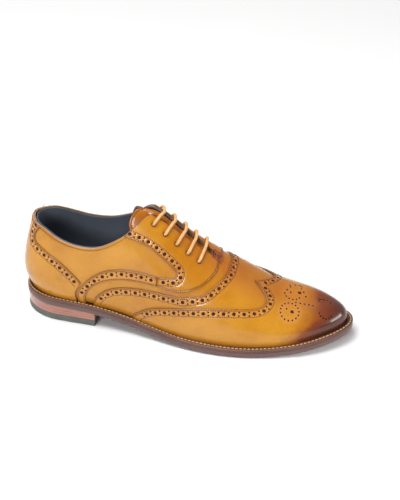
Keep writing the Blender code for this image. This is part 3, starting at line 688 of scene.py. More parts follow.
def tube_faces(rings, sides, first=0):
    """Faces of a capped tube of rings, whose vertices start at first."""
    faces = []
    for base in range(first, first + (rings - 1) * sides, sides):
        for k in range(sides):
            n = (k + 1) % sides
            faces.append((base + k, base + n, base + sides + n, base + sides + k))
    faces.append(tuple(first + k for k in reversed(range(sides))))
    faces.append(tuple(first + (rings - 1) * sides + k for k in range(sides)))
    return faces


def stitches(name, runs, pitch=2.1, length=1.6, thickness=1.0):
    """Threads lying in their groove. A run is a map, a line of it and a depth."""
    points = []
    for chart, line, depth in runs:
        line = respaced(chart, line, pitch, depth)
        middles = (line[1:] + line[:-1]) / 2
        at = chart.lay(middles, depth)
        way = unit(chart.lay(line[1:], depth) - chart.lay(line[:-1], depth))
        up = unit(chart.lay(middles, depth + 1.0) - at)
        across = np.cross(up, way)
        for p, w, u, c in zip(at, way, up, across):
            for share, height, radius in THREAD_RINGS:
                for k in range(THREAD_SIDES):
                    angle = 2 * math.pi * k / THREAD_SIDES
                    rise = height + radius * math.sin(angle)
                    aside = radius * math.cos(angle)
                    points.append(p + w * share * length + (u * rise + c * aside) * thickness)
    size = len(THREAD_RINGS) * THREAD_SIDES
    faces = []
    for first in range(0, len(points), size):
        faces += tube_faces(len(THREAD_RINGS), THREAD_SIDES, first)
    return solid(name, np.array(points), [face[::-1] for face in faces])


# ---------------------------------------------------------------- materials
class Graph:
    """A new material, with short ways to add and join its nodes."""

    def __init__(self, name):
        self.material = bpy.data.materials.new(name)
        self.material.use_nodes = True
        self.tree = self.material.node_tree
        self.place = self.add("TexCoord", {}, "Object")

    def put(self, socket, value):
        """Links another node's output to a socket, or sets the socket's own value."""
        if isinstance(value, bpy.types.NodeSocket):
            self.tree.links.new(value, socket)
        elif socket.type == "RGBA":
            socket.default_value = (*value, 1)
        else:
            socket.default_value = value

    def add(self, kind, inputs, output=0, **settings):
        """The output of a new node."""
        node = self.tree.nodes.new("ShaderNode" + kind)
        for key, value in settings.items():
            setattr(node, key, value)
        for key, value in inputs.items():
            self.put(node.inputs[key], value)
        return node.outputs[output]

    def surface(self, inputs):
        """The material, with these inputs of its shader."""
        shader = self.tree.nodes["Principled BSDF"]
        for key, value in inputs.items():
            self.put(shader.inputs[key], value)
        return self.material

    def noise(self, scale, detail=3.0, roughness=0.55, vector=None):
        inputs = {"Scale": scale, "Detail": detail, "Roughness": roughness, "Vector": vector or self.place}
        return self.add("TexNoise", inputs, "Fac")

    def pores(self, scale):
        return self.add("TexVoronoi", {"Scale": scale, "Vector": self.place}, "Distance")

    def ramp(self, value, low, high, out_low=0.0, out_high=1.0):
        return self.add("MapRange", dict(enumerate((value, low, high, out_low, out_high))), clamp=True)

    def mix(self, share, first, second):
        return self.add("Mix", {0: share, 6: first, 7: second}, 2, data_type="RGBA")

    def math(self, first, second, operation="MULTIPLY", clamp=True):
        return self.add("Math", {0: first, 1: second}, operation=operation, use_clamp=clamp)

    def mark(self, name):
        return self.add("Attribute", {}, "Fac", attribute_name=name)

    def bump(self, height, strength, distance):
        return self.add("Bump", {"Strength": strength, "Distance": distance * MM, "Height": height})


TAN = (0.475, 0.190, 0.006)
HONEY = (0.57, 0.255, 0.018)
AMBER = (0.35, 0.084, 0.002)
BUFF = (0.60, 0.27, 0.090)
EDGE_INK = (0.075, 0.024, 0.012)
RUSSET = (0.23, 0.046, 0.009)
UMBER = (0.075, 0.018, 0.010)
# colour of the punched holes: ink on the cut, with painted shade for the hole's depth
PIT_INK_AND_SHADE = (0.048, 0.013, 0.007)
RIM = (0.50, 0.30, 0.22)
FLESH_SIDE = (0.42, 0.28, 0.17)
NAVY = (0.085, 0.100, 0.128)
GREY_BLUE = (0.115, 0.130, 0.158)


def upper_leather():
    """Mottled tan, warmer where it is amber or rubbed, burnished at the toe, inked at edges, and dark in the
    holes with ink and painted shade.
    """
    g = Graph("upper_leather")
    edge, pit_ink_and_shade = g.mark("edge"), g.mark("pit_ink_and_shade")
    colour = g.mix(g.ramp(g.noise(16.0, 4.0), 0.35, 0.68), TAN, HONEY)
    colour = g.mix(g.ramp(g.mark("punch"), 2.0, 4.5, 0.35, 0.0), colour, BUFF)
    rub = g.math(g.ramp(edge, 0.5, 3.0, 0.4, 0.0), g.ramp(g.noise(60.0), 0.3, 0.6, 0.5, 1.0))
    colour = g.mix(rub, colour, AMBER)
    colour = g.mix(g.math(g.mark("amber"), 0.75), colour, AMBER)
    toe = g.math(g.mark("toe"), g.ramp(g.noise(40.0, 5.0), 0.2, 0.7, -0.12, 0.12), "ADD")
    colour = g.mix(g.ramp(toe, 0.02, 0.5), colour, RUSSET)
    colour = g.mix(g.ramp(toe, 0.32, 0.88), colour, UMBER)
    colour = g.mix(g.ramp(edge, 0.15, 0.7, 0.85, 0.0), colour, EDGE_INK)
    # the punched holes darkened with ink and painted shade
    colour = g.mix(g.ramp(pit_ink_and_shade, 0.1, 0.9), colour, PIT_INK_AND_SHADE)
    colour = g.mix(g.ramp(g.mark("pale"), 0.1, 0.5, 0.9, 0.0), colour, RIM)
    colour = g.mix(g.mark("under"), colour, FLESH_SIDE)
    gloss = g.ramp(g.noise(90.0, 4.0), 0.3, 0.7, 0.24, 0.34)
    grain = g.math(g.ramp(g.pores(1500.0), 0.0, 0.6), g.noise(500.0, 4.0))
    return g.surface({
        "Base Color": colour,
        "Roughness": g.math(gloss, g.ramp(pit_ink_and_shade, 0.2, 0.9, 0.0, 0.45), "ADD"),
        "Coat Weight": g.math(g.ramp(pit_ink_and_shade, 0.1, 0.8, 0.5, 0.0), g.ramp(edge, 0.3, 1.5, 0.3, 1.0)),
        "Coat Roughness": 0.09,
        "Specular IOR Level": 0.3,
        "Normal": g.bump(grain, 0.16, 0.12),
    })


def lining_leather():
    g = Graph("lining_leather")
    return g.surface({
        "Base Color": g.mix(g.ramp(g.noise(30.0, 4.0), 0.3, 0.7), NAVY, GREY_BLUE),
        "Roughness": g.ramp(g.noise(120.0), 0.3, 0.7, 0.42, 0.58),
        "Normal": g.bump(g.ramp(g.pores(1100.0), 0.0, 0.5), 0.3, 0.15),
    })


def plain(name, dark, light, scale, rough, grain_scale, grain, metallic=0.0):
    """A material of two mottled tones with a grain."""
    g = Graph(name)
    return g.surface({
        "Base Color": g.mix(g.ramp(g.noise(scale, 4.0, 0.6), 0.32, 0.68), dark, light),
        "Roughness": g.ramp(g.noise(scale * 3, 3.0, 0.5), 0.3, 0.7, *rough),
        "Metallic": metallic,
        "Normal": g.bump(g.noise(grain_scale, 4.0, 0.6), grain, 0.2),
    })


def layered(name, dark, light, pitch, rough, coat):
    """Stacked leather: thin layers lying on each other, under a stain."""
    g = Graph(name)
    flat = g.add("Mapping", {"Vector": g.place, "Scale": (0.12, 0.12, 1.0)}, "Vector")
    fibres = g.noise(1800.0, 3.0, 0.6, flat)
    height = g.add("SeparateXYZ", {"Vector": g.place}, "Z")
    turn = g.math(height, 2 * math.pi / (pitch * MM), clamp=False)
    wave = g.math(turn, 0.0, "SINE", clamp=False)
    colour = g.mix(g.ramp(g.noise(26.0, 4.0), 0.3, 0.7), dark, light)
    colour = g.mix(g.math(g.ramp(wave, 0.86, 1.0), 0.55), colour, tuple(v * 0.45 for v in dark))
    colour = g.mix(g.ramp(fibres, 0.35, 0.75, 0.0, 0.28), colour, tuple(v * 0.6 for v in dark))
    return g.surface({
        "Base Color": colour,
        "Roughness": g.ramp(fibres, 0.3, 0.7, *rough),
        "Coat Weight": coat,
        "Coat Roughness": 0.18,
        "Normal": g.bump(g.math(fibres, g.ramp(wave, 0.7, 1.0, 1.0, 0.4)), 0.2, 0.15),
    })


PLAIN = {  # dark and light tone, their scale, roughness, the grain's scale and strength, and metallic
    "fibre_board": ((0.42, 0.35, 0.25), (0.55, 0.47, 0.35), 60, (0.7, 0.9), 900, 0.4),
    "welt_leather": ((0.085, 0.030, 0.018), (0.14, 0.058, 0.034), 50, (0.35, 0.5), 900, 0.25),
    "insole_leather": ((0.36, 0.21, 0.10), (0.46, 0.29, 0.15), 40, (0.6, 0.75), 700, 0.3),
    "cork": ((0.20, 0.105, 0.05), (0.36, 0.22, 0.12), 500, (0.8, 0.95), 600, 0.8),
    "shank_steel": ((0.36, 0.36, 0.38), (0.5, 0.5, 0.52), 60, (0.3, 0.42), 800, 0.1, 1.0),
    "rubber": ((0.085, 0.090, 0.080), (0.115, 0.120, 0.108), 90, (0.5, 0.65), 900, 0.35),
    "nail_brass": ((0.5, 0.36, 0.14), (0.6, 0.45, 0.2), 300, (0.3, 0.45), 900, 0.1, 1.0),
    "eyelet_metal": ((0.03, 0.03, 0.033), (0.05, 0.05, 0.055), 300, (0.3, 0.45), 900, 0.1, 1.0),
    "lace_cord": ((0.60, 0.32, 0.12), (0.76, 0.46, 0.20), 400, (0.55, 0.7), 2500, 0.3),
    "aglet": ((0.30, 0.14, 0.05), (0.38, 0.19, 0.07), 200, (0.3, 0.4), 900, 0.1),
    "thread": ((0.035, 0.010, 0.006), (0.065, 0.020, 0.011), 900, (0.5, 0.65), 3000, 0.3),
    "welt_thread": ((0.62, 0.38, 0.16), (0.78, 0.52, 0.26), 900, (0.5, 0.65), 3000, 0.3),
    "tack_thread": ((0.20, 0.045, 0.022), (0.30, 0.075, 0.035), 900, (0.5, 0.65), 3000, 0.3),
}
LAYERED = {  # dark and light tone, the layers' pitch, roughness and coat
    "sole_leather": ((0.10, 0.046, 0.042), (0.15, 0.076, 0.068), 1.7, (0.3, 0.45), 0.3),
    "stacked_heel": ((0.34, 0.125, 0.085), (0.47, 0.195, 0.135), 2.6, (0.16, 0.30), 0.8),
}
LOOKS = {name: plain(name, *values) for name, values in PLAIN.items()}
LOOKS |= {name: layered(name, *values) for name, values in LAYERED.items()}
LOOKS |= {"upper_leather": upper_leather(), "lining_leather": lining_leather()}


def wear(thing, slot, node=None, body="shoe", look=None):
    """Gives a piece its material, its body, its slot and the node that it stands for."""
    thing.data.materials.clear()
    thing.data.materials.append(LOOKS[look or slot])
    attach(thing, body)
    if node:
        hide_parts(node)


def paint(thing, name, function):
    """A value at each vertex, from its place in millimetres."""
    places = np.empty(len(thing.data.vertices) * 3)
    thing.data.vertices.foreach_get("co", places)
    mark(thing, name, function(places.reshape(-1, 3) / MM + MIDDLE))


def step_up(value, low, high):
    share = np.clip((value - low) / (high - low), 0, 1)
    return share * share * (3 - 2 * share)


BURNISH_START = 241  # at the feather line; over the crest it starts further ahead
BURNISH_SLANT = 12
BURNISH_LENGTH = 54


def toe_burnish(places):
    """Darkest at the toe's front, reaching further back low on the sides."""
    height = places[:, 2] - sole_z(places[:, 0])
    start = BURNISH_START + BURNISH_SLANT * step_up(height, 12, 26)
    return step_up(places[:, 0], start, start + BURNISH_LENGTH)


def amber_tone(places):
    """Warmer towards the throat, low round the feather line and at the heel's back."""
    x, y, z = places.T
    throat = np.exp(-(((x - 185) / 45) ** 2) - (((y + 4) / 26) ** 2))
    ridge = np.exp(-(((x - 252) / 34) ** 2) - ((y / 24) ** 2))
    low = 1 - step_up(z - sole_z(x), 8.5, 11)
    heel = 1 - step_up(x, 0, 16)
    return np.clip(throat + 0.7 * ridge + 0.4 * low + 0.2 * heel, 0, 1)


# ---------------------------------------------------------------- pattern lines, as in the CAD
TOPLINE = {
    -1: ((0, 0.45), (7, 0.425), (16, 0.414), (33, 0.376), (49, 0.358), (65, 0.368), (79, 0.418), (95, 0.528),
         (107, 0.68)),
    1: ((0, 0.45), (7, 0.435), (16, 0.425), (33, 0.392), (49, 0.384), (65, 0.405), (79, 0.452), (95, 0.548),
        (107, 0.68)),
}
FACING_TOP = (117, 0.855)
FACING_FOOT = (186, 0.955)
TOPLINE_FRONT = ((107, 0.68), (113, 0.78), FACING_TOP)
LOWEST = -TUCK_T
VAMP_EDGE = (
    (66, LOWEST), (68, 0.01), (77.5, 0.094), (89, 0.146), (103.5, 0.183), (131.5, 0.245), (155, 0.303),
    (166, 0.347), (179.5, 0.427), (190.5, 0.56), (200, 0.72), (207, 0.88), (210, 1.0),
)
QUARTER_FRONT = (
    (214, 0.992), (213, 0.85), (207, 0.65), (195, 0.45), (178, 0.31), (155, 0.21), (120, 0.12), (90, 0.05),
    (80, LOWEST),
)
CAP_EDGE = (
    (106, LOWEST), (109.5, 0.0), (116.5, 0.055), (127, 0.113), (144.5, 0.178), (189, 0.335), (212, 0.414),
    (230, 0.482), (240, 0.55), (246, 0.65), (248, 0.75), (246, 0.86), (243.5, 0.93), (239, 1.0),
)
VAMP_FRONT = (
    (126, LOWEST), (130, 0.0), (150, 0.11), (200, 0.27), (235, 0.39), (253, 0.52), (260, 0.7), (260, 1.0),
)
STRAP_TOP = (
    (52, LOWEST), (52.5, 0.035), (57.5, 0.106), (67, 0.176), (78.5, 0.236), (93, 0.279), (107, 0.308),
    (133, 0.36),
)
STRAP_FOOT = (
    (133, 0.29), (118, 0.259), (93.5, 0.21), (79, 0.167), (70, 0.125), (64, 0.078), (60, 0.004), (59, LOWEST),
)
LOBE = (
    (95.5, 0.523), (109, 0.535), (122, 0.54), (140, 0.523), (150, 0.505), (152, 0.486), (150, 0.435),
    (134, 0.363),
)
FACING_SEAM = (
    (134, 0.293), (149, 0.325), (163, 0.38), (176.5, 0.49), (188, 0.65), (195, 0.82), (197, 0.996),
)
COUNTER_TOP = (
    (11, 0.42), (8, 0.375), (7.3, 0.336), (9.9, 0.307), (21, 0.278), (36, 0.233), (50, 0.172), (57.5, 0.13),
)
COUNTER_FRONT = ((56, 0.106), (51.3, 0.035), (50.5, LOWEST))
FOOT = ((192, 0.972), (197, 0.996))
LINING_SEAM = ((156, 0.905), (155, 0.7), (152, 0.4), (149, 0.1), (148.5, LOWEST))
TONGUE_SIDE = (
    (203, 1.0), (202, 0.82), (182, 0.66), (150, 0.57), (120, 0.54), (103, 0.55), (97, 0.62), (99, 0.76),
    (103, 0.88), (107, 0.96), (108, 1.0),
)
EYELETS = ((122.5, 0.765), (135.5, 0.752), (148.5, 0.748), (161, 0.745), (173.5, 0.745))
LACE_HOLE = 2.0
EYELET_HOLE = 2.7
BACK_SEAM = 0.003
FACING_SIDE = (107, 0.68)  # where the facing's top band leaves the topline
QUARTER_TIP = (214, 0.9995)
TOE_END = ("toe", ((308, LOWEST), (308, 0.999)))
PUFF_EDGE = ((262, 1.0), (262, 0.7), (258, 0.55), (250, 0.4), (247, 0.1), (247, LOWEST))
STIFFENER_EDGE = ((0, 0.41), (15, 0.385), (35, 0.34), (50, 0.26), (58, 0.12), (58, LOWEST))

BAND = 4.3  # from a band's edge to the middle of its holes
EDGE_ROW = 1.5
INNER_ROW = 7.2
TOPLINE_ROW = 2.5
PUNCH_PITCH = 9.2
PAIR = 1.5  # half the distance between the two small holes of a pair
LOWEST_PUNCH = 0.3  # row on the map
LOWEST_STITCH = 0.05


def shift(points, dx):
    return tuple((x + dx, t) for x, t in points)


def heel_room(x):
    """How far the lining stands in at the heel."""
    return -HEEL_TUCK * np.clip((95 - x) / 30, 0, 1)


def eyelet_holes(chart, sides, eyelets, radius, count):
    return [ring(chart, chart.spot(side, x, t), radius, count) for side in sides for x, t in eyelets]


def punched(chart, lines):
    """Big holes along the lines with a pair of small ones between each two."""
    pits = []
    for line in lines:
        total = lengths(chart, line)[-1]
        count = max(1, round(total / PUNCH_PITCH))
        steps = respaced(chart, line, total / count / 2)
        above, below = beside(chart, steps, PAIR), beside(chart, steps, -PAIR)
        for k, spot in enumerate(steps[1:-1], 1):
            if chart.back(spot[None])[2][0] >= LOWEST_PUNCH:
                pits += [(spot, BIG_PIT)] if k % 2 else [(above[k], SMALL_PIT), (below[k], SMALL_PIT)]
    return pits


SEWN = []  # runs of dark thread


def sewn(chart, rows, depth):
    """The rows, noted down for thread where they show over the welt."""
    for row in rows:
        SEWN.append((chart, row[chart.back(row)[2] > LOWEST_STITCH], depth + SKIN))
    return rows


def banded(pattern, name, depth, joined=True):
    """Rows and holes of a brogue band along one run of a pattern."""
    rows = pattern.row(name, EDGE_ROW, joined) + pattern.row(name, INNER_ROW, joined)
    return sewn(pattern.chart, rows, depth), punched(pattern.chart, pattern.row(name, BAND, joined))


def layer(name, slot, pattern, under, over, body="shoe", **settings):
    """A shell that stands for the CAD node of its name."""
    thing = shell(name, pattern, under, over, **settings)
    wear(thing, slot, name, body)
    return thing


def leather(name, pattern, depth, body="shoe", amber=amber_tone, **settings):
    """A piece of the upper, over a depth."""
    thing = layer(name, "upper_leather", pattern, depth, depth + SKIN, body, **settings)
    paint(thing, "toe", toe_burnish)
    paint(thing, "amber", amber)


# ---------------------------------------------------------------- upper
def make_quarter(side, half):
    facing_edge = (FACING_TOP, FACING_FOOT)
    quarter = Pattern(HEEL, line_of(
        HEEL, side, ("topline", ((BACK_SEAM, TOPLINE[side][0][1]), *TOPLINE[side][1:])),
        ("topline", TOPLINE_FRONT), ("throat", facing_edge), ("throat", (FACING_FOOT, *FOOT)),
        ("closed", (FOOT[-1], QUARTER_TIP)), ("front", (QUARTER_TIP, *QUARTER_FRONT[1:])),
        ("tuck", ((80, LOWEST), (BACK_SEAM, LOWEST))), ("back", ((BACK_SEAM, LOWEST), (BACK_SEAM, 0.453))),
    ))
    rows = sewn(HEEL, quarter.row("topline", TOPLINE_ROW), INNER)
    holes = eyelet_holes(HEEL, (side,), EYELETS, EYELET_HOLE, 16)
    leather("quarter_" + half, quarter, INNER, rows=rows, holes=holes, pale="topline")

    facing = Pattern(HEEL, line_of(
        HEEL, side, ("lobe", LOBE), ("end", (LOBE[-1], FACING_SEAM[0])), ("seam", FACING_SEAM),
        ("throat", FOOT[::-1]), ("throat", (FOOT[0], FACING_FOOT)), ("throat", facing_edge[::-1]),
        ("top", TOPLINE_FRONT[::-1]), ("side", (FACING_SIDE, (102, 0.605), LOBE[0])),
    ))
    rows, pits = banded(facing, "lobe", OUTER)
    rows = rows + sewn(HEEL, facing.row("seam", EDGE_ROW), OUTER)
    holes = eyelet_holes(HEEL, (side,), EYELETS, LACE_HOLE, 16)
    leather("facing_" + half, facing, OUTER, rows=rows, pits=pits, holes=holes)

    strap = Pattern(HEEL, line_of(
        HEEL, side, ("top", STRAP_TOP), ("end", (STRAP_TOP[-1], STRAP_FOOT[0])), ("foot", STRAP_FOOT),
        ("tuck", (STRAP_FOOT[-1], STRAP_TOP[0])),
    ))
    rows = sewn(HEEL, strap.row("top", EDGE_ROW) + strap.row("foot", EDGE_ROW), OUTER)
    leather("strap_" + half, strap, OUTER, rows=rows, pits=punched(HEEL, strap.row("top", BAND)))


def make_counter():
    counter = mirrored(
        HEEL, ("topline", (TOPLINE[-1][0], COUNTER_TOP[0])), ("band", COUNTER_TOP),
        ("corner", (COUNTER_TOP[-1], COUNTER_FRONT[0])), ("front", COUNTER_FRONT),
        ("tuck", (COUNTER_FRONT[-1], (0, LOWEST))),
    )
    rows, pits = banded(counter, "band", OUTER)
    rows = rows + sewn(HEEL, counter.row("topline", TOPLINE_ROW), OUTER)
    leather("heel_counter", counter, OUTER, rows=rows, pits=pits, pale="topline")


MEDALLION = (278, 0.81)  # x and t on the outer half
MEDALLION_AHEAD = (300, 0.6)
MEDALLION_RING = (8.6, 11.0, 15)  # radius, distance from the middle line and holes
MEDALLION_CURL = (6.5, 3.5, 6)
MEDALLION_MIDDLE = 2.2  # how far ahead of the place a ring's big hole lies
MEDALLION_SINGLE = (-3.2, 9.5)
MEDALLION_DOTS = (4.0, 4.2, 5)  # first, pitch and count
CURL_AHEAD = 33
MARCH = 6  # steps from its middle to each hole


def medallion_holes():
    """Millimetres forward and sideways, and a radius, for each hole."""
    spots = []
    for half in (-1, 1):
        radius, aside, count = MEDALLION_RING
        spots.append((MEDALLION_MIDDLE, half * aside, BIG_PIT))
        for k in range(count):
            angle = 2 * math.pi * (k + 0.5) / count
            spots.append((radius * math.cos(angle), half * (aside + radius * math.sin(angle)), SMALL_PIT))
        forward, aside = MEDALLION_SINGLE
        spots.append((forward, half * aside, SMALL_PIT))
        radius, aside, count = MEDALLION_CURL
        for k in range(count):
            angle = math.pi * (0.15 + 0.7 * k / (count - 1))
            forward = CURL_AHEAD + radius * math.cos(angle)
            spots.append((forward, half * (aside + radius * math.sin(angle)), SMALL_PIT))
    first, pitch, count = MEDALLION_DOTS
    return spots + [(first + pitch * k, 0.0, SMALL_PIT) for k in range(count)]


def medallion():
    """Two mirrored rings of small holes round a big one, a dotted line between them and a curl ahead."""
    spot = CREST.spot(-1, *MEDALLION)[None]
    centre, ahead = (
        CREST.lay(CREST.spot(-1, *place)[None], CAP + SKIN)[0] for place in (MEDALLION, MEDALLION_AHEAD)
    )
    forward = unit(ahead - centre)
    j = jacobian(CREST, spot)[0]
    normal = unit(np.cross(j[:, 0], j[:, 1]))
    normal = normal * np.sign(normal[2])
    sideways = unit(np.cross(normal, forward))
    along, across, radii = np.array(medallion_holes()).T
    ways = (along[:, None] * forward + across[:, None] * sideways) / MARCH
    places = np.repeat(spot, len(radii), axis=0)
    for _ in range(MARCH):
        places = places + to_map(CREST, places, ways)
    return list(zip(places, radii))


def make_vamp():
    vamp = mirrored(
        CREST, ("band", VAMP_EDGE[::-1]), ("tuck", (VAMP_EDGE[0], VAMP_FRONT[0])), ("hidden", VAMP_FRONT)
    )
    rows, pits = banded(vamp, "band", OUTER)
    leather("vamp", vamp, OUTER, rows=rows, pits=pits)

    cap = mirrored(CREST, ("band", CAP_EDGE[::-1]), ("tuck", (CAP_EDGE[0], (308, LOWEST))), TOE_END)
    rows, pits = banded(cap, "band", CAP, joined=False)
    leather("wing_cap", cap, CAP, rows=rows, pits=pits + medallion())


HIDDEN = {"rings": (1.3,), "soft": 0.2, "spacing": 0.25}  # coarser, for layers that show little or nothing


def make_heel_layers():
    outer, inner = (
        line_of(
            HEEL, side, ("top", TOPLINE[side]), ("top", TOPLINE_FRONT),
            ("throat", (FACING_TOP, LINING_SEAM[0])), ("seam", LINING_SEAM),
            ("tuck", (LINING_SEAM[-1], (0, LOWEST))),
        )
        for side in (-1, 1)
    )
    lining = Pattern(HEEL, outer + [(name, line[::-1]) for name, line in inner[::-1]])
    layer("quarter_lining", "lining_leather", lining, heel_room, lambda x: heel_room(x) + LINING_SKIN,
          holes=eyelet_holes(HEEL, (-1, 1), EYELETS[:3], EYELET_HOLE, 12), soft=0.3, under_soft=0.3)

    depth, thickness = STIFFENER
    stiffener = mirrored(HEEL, ("top", STIFFENER_EDGE), ("tuck", (STIFFENER_EDGE[-1], (0, LOWEST))))
    layer("heel_stiffener", "fibre_board", stiffener, depth, depth + thickness, **HIDDEN)


def make_front_layers():
    seam = shift(LINING_SEAM, 1.0)
    lining = mirrored(
        CREST, ("throat", ((196, 1.0), FACING_FOOT)), ("throat", (FACING_FOOT, seam[0])), ("seam", seam),
        ("tuck", (seam[-1], (308, LOWEST))), TOE_END,
    )
    layer("vamp_lining", "lining_leather", lining, 0.0, LINING_SKIN, rings=(0.4,), soft=0.2, spacing=0.25,
          holes=eyelet_holes(CREST, (-1, 1), EYELETS[3:], EYELET_HOLE, 12))

    front = shift(QUARTER_FRONT, 2.0)
    interlining = mirrored(
        CREST, ("top", ((216, 1.0), front[0])), ("edge", front), ("tuck", (front[-1], (308, LOWEST))), TOE_END
    )
    layer("vamp_interlining", "fibre_board", interlining, INNER, INNER + SKIN, **HIDDEN)

    puff = mirrored(CREST, ("edge", PUFF_EDGE), ("tuck", (PUFF_EDGE[-1], (308, LOWEST))), TOE_END)
    layer("toe_puff", "fibre_board", puff, OUTER, OUTER + SKIN, **HIDDEN)


TONGUE_DEPTH = -5.6
TONGUE_LINING_DEPTH = -6.8


def make_tongue():
    tongue = mirrored(TONGUE, ("edge", TONGUE_SIDE))
    rows = tongue.row("edge", TOPLINE_ROW)
    leather("tongue", tongue, TONGUE_DEPTH, "tongue_flap", lambda places: np.ones(len(places)), rows=rows)
    layer("tongue_lining", "lining_leather", tongue, TONGUE_LINING_DEPTH, TONGUE_LINING_DEPTH + LINING_SKIN,
          "tongue_flap", soft=0.2, under_soft=0.3)
    thread = stitches("tongue_stitches", [(TONGUE, row, TONGUE_DEPTH + SKIN) for row in rows])
    wear(thread, "thread", body="tongue_flap")


make_quarter(-1, "outer")
make_quarter(1, "inner")
make_counter()
make_vamp()
make_heel_layers()
make_front_layers()
make_tongue()
wear(stitches("upper_stitches", SEWN), "thread")


# ---------------------------------------------------------------- bottom
WELT_STATIONS = (0, 60, 100, 125, 180, 260, 308)
WELT_WIDTH_OUTER = (2.7, 2.9, 2.4, 2.9, 4.7, 4.9, 5.0)
WELT_WIDTH_INNER = (2.7, 2.7, 2.1, 2.6, 4.1, 4.7, 5.0)
WELT_REACH = 2.6  # how far it goes in to meet the upper
WELT_SEAM = 0.66  # where the stitches run, as a share from its inner edge to its outer
WELT_GAP = 0.05
SOLE_WALL = ((0.12, 0.1), (0.35, 0.22), (0.65, 0.22), (0.88, 0.1))
WELT_WALL = ((0.3, 0.12), (0.7, 0.12))
HEEL_LENGTH = 72.0
HEEL_STEP = 0.8
TOP_PIECE = 6.6
LIFT = 2.3
LIFTS = 3
INSOLE = 2.4
INSOLE_ROOM = 0.8
SOCK = 1.0
SOCK_INSET = 2.1
NAIL = 1.0
NAILS = ((14, 0), (24, -18), (24, 18), (48, -22), (48, 22))
GROUND = Plan(lambda x: 0.0 * x)
SOLE = Plan(sole_z)


def around(start, end, insets, count=240):
    """A closed loop of the sole's outline, drawn in by insets(side, x)."""
    angle = 2 * np.pi * np.arange(count + 1) / count
    side = np.where(angle > np.pi, 1.0, -1.0)
    x = start + (end - start) * (1 - np.cos(angle)) / 2
    inset = np.where(side < 0, insets(-1, x), insets(1, x))
    return np.stack([x, outline_y(x, side, inset, start, end)], -1)


def heel_outline(inset):
    """The heel's outline: round behind, straight at the breast."""
    angle = np.linspace(0, np.pi / 2, 60)
    x = inset + (HEEL_LENGTH - inset) * (1 - np.cos(angle))
    outer, inner = (np.stack([x, outline_y(x, side, inset, inset, LENGTH)], -1) for side in (-1, 1))
    return [("round", np.vstack([inner[::-1], outer[1:]])), ("breast", np.stack([outer[-1], inner[-1]]))]


def welt_width(side, x):
    return WELT_REACH + spline(WELT_STATIONS, WELT_WIDTH_OUTER if side < 0 else WELT_WIDTH_INNER, x)


def sock_inset(side, x):
    inset = spline(INSET_STATIONS, OUTER_INSET if side < 0 else INNER_INSET, x)
    return inset + SOCK_INSET - 1.5 * heel_room(x)


def make_sole():
    edge = around(0.0, LENGTH, lambda side, x: 0.0 * x)
    outline = Pattern(SOLE, [("edge", edge)])
    layer("outsole", "sole_leather", outline, 0.0, OUTSOLE, soft=0.25, under_soft=0.9, wall=SOLE_WALL)
    inner = around(WELT_WIDTH_OUTER[0], LENGTH - WELT_WIDTH_OUTER[-1], welt_width)
    row = edge * WELT_SEAM + inner * (1 - WELT_SEAM)
    low = OUTSOLE + WELT_GAP
    layer("welt", "welt_leather", outline, low, low + WELT, rows=[row], holes=[inner[:-1]], soft=0.5,
          wall=WELT_WALL)
    thread = stitches("welt_stitches", [(SOLE, row, low + WELT)], 3.7, 2.9, 1.7)
    wear(thread, "thread", look="welt_thread")


def make_heel():
    heel = Pattern(GROUND, heel_outline(HEEL_STEP))
    holes = [ring(GROUND, np.array([x, y], float), NAIL + GAP, 16) for x, y in NAILS]
    layer("top_piece", "rubber", heel, 0.0, TOP_PIECE, holes=holes, soft=0.2, under_soft=0.5,
          rings=(0.3, 0.8))
    levels = [TOP_PIECE + number * (GAP + LIFT) for number in range(LIFTS)] + [lambda x: sole_z(x) - 0.02]
    for number in range(LIFTS):
        layer(f"heel_lift_{number + 1}", "stacked_heel", heel, levels[number] + 0.03, levels[number + 1],
              soft=0.08, under_soft=0.08, rings=(0.4,))


def make_sock():
    start = HEEL_INSET + 1.5 * HEEL_TUCK + 1 + SOCK_INSET
    end = LENGTH - TOE_INSET - 1 - SOCK_INSET
    sock = Pattern(Plan(lambda x: feather_z(x) - heel_room(x)), [("edge", around(start, end, sock_inset))])
    low = INSOLE_ROOM + INSOLE
    layer("sock_liner", "lining_leather", sock, low, low + SOCK, soft=0.4)


# ---------------------------------------------------------------- lacing
LACE_RADIUS = 1.45
LACE_UNDER = -2.7
LACE_OVER = 5.7
LACE_AHEAD = 5.5  # how far towards the toe a bar lies where it crosses the crest
BRAID_SIDES = 20
BRAID_STRANDS = 5
BRAID_LAY = 7.0
BRAID_STEP = 0.45
FIRST_TAIL = ((128, 0.60), (145, 0.595), (160, 0.61), (168, 0.65), (170, 0.70))
LAST_TAIL = (
    (119.5, 0.72), (123, 0.68), (143, 0.675), (158, 0.69), (166, 0.66), (160, 0.615), (145, 0.595),
    (128, 0.60),
)


def lace_route():
    """(side, x, t, depth) points: five straight bars, with the rises between them inside."""
    route = [(-1, x, t, LACE_UNDER) for x, t in FIRST_TAIL]
    side = -1
    for number in range(len(EYELETS) - 1, -1, -1):
        x, t = EYELETS[number]
        half = [(t, -1.5), (t, 1.0), (t, 3.4), (t + 0.03, 5.4), (0.857, LACE_OVER), (0.93, LACE_OVER)]
        half = [(x + LACE_AHEAD * (place - t) / (1 - t), place, depth) for place, depth in half]
        route += [(side, *point) for point in half]
        route.append((side, x + LACE_AHEAD, 1.0, 5.2))
        side = -side
        route += [(side, *point) for point in half[::-1]]
        if number:
            next_x, next_t = EYELETS[number - 1]
            for share in (0.25, 0.75):
                route.append((side, x + share * (next_x - x), t + share * (next_t - t), LACE_UNDER))
    return route + [(1, x, t, LACE_UNDER) for x, t in LAST_TAIL]


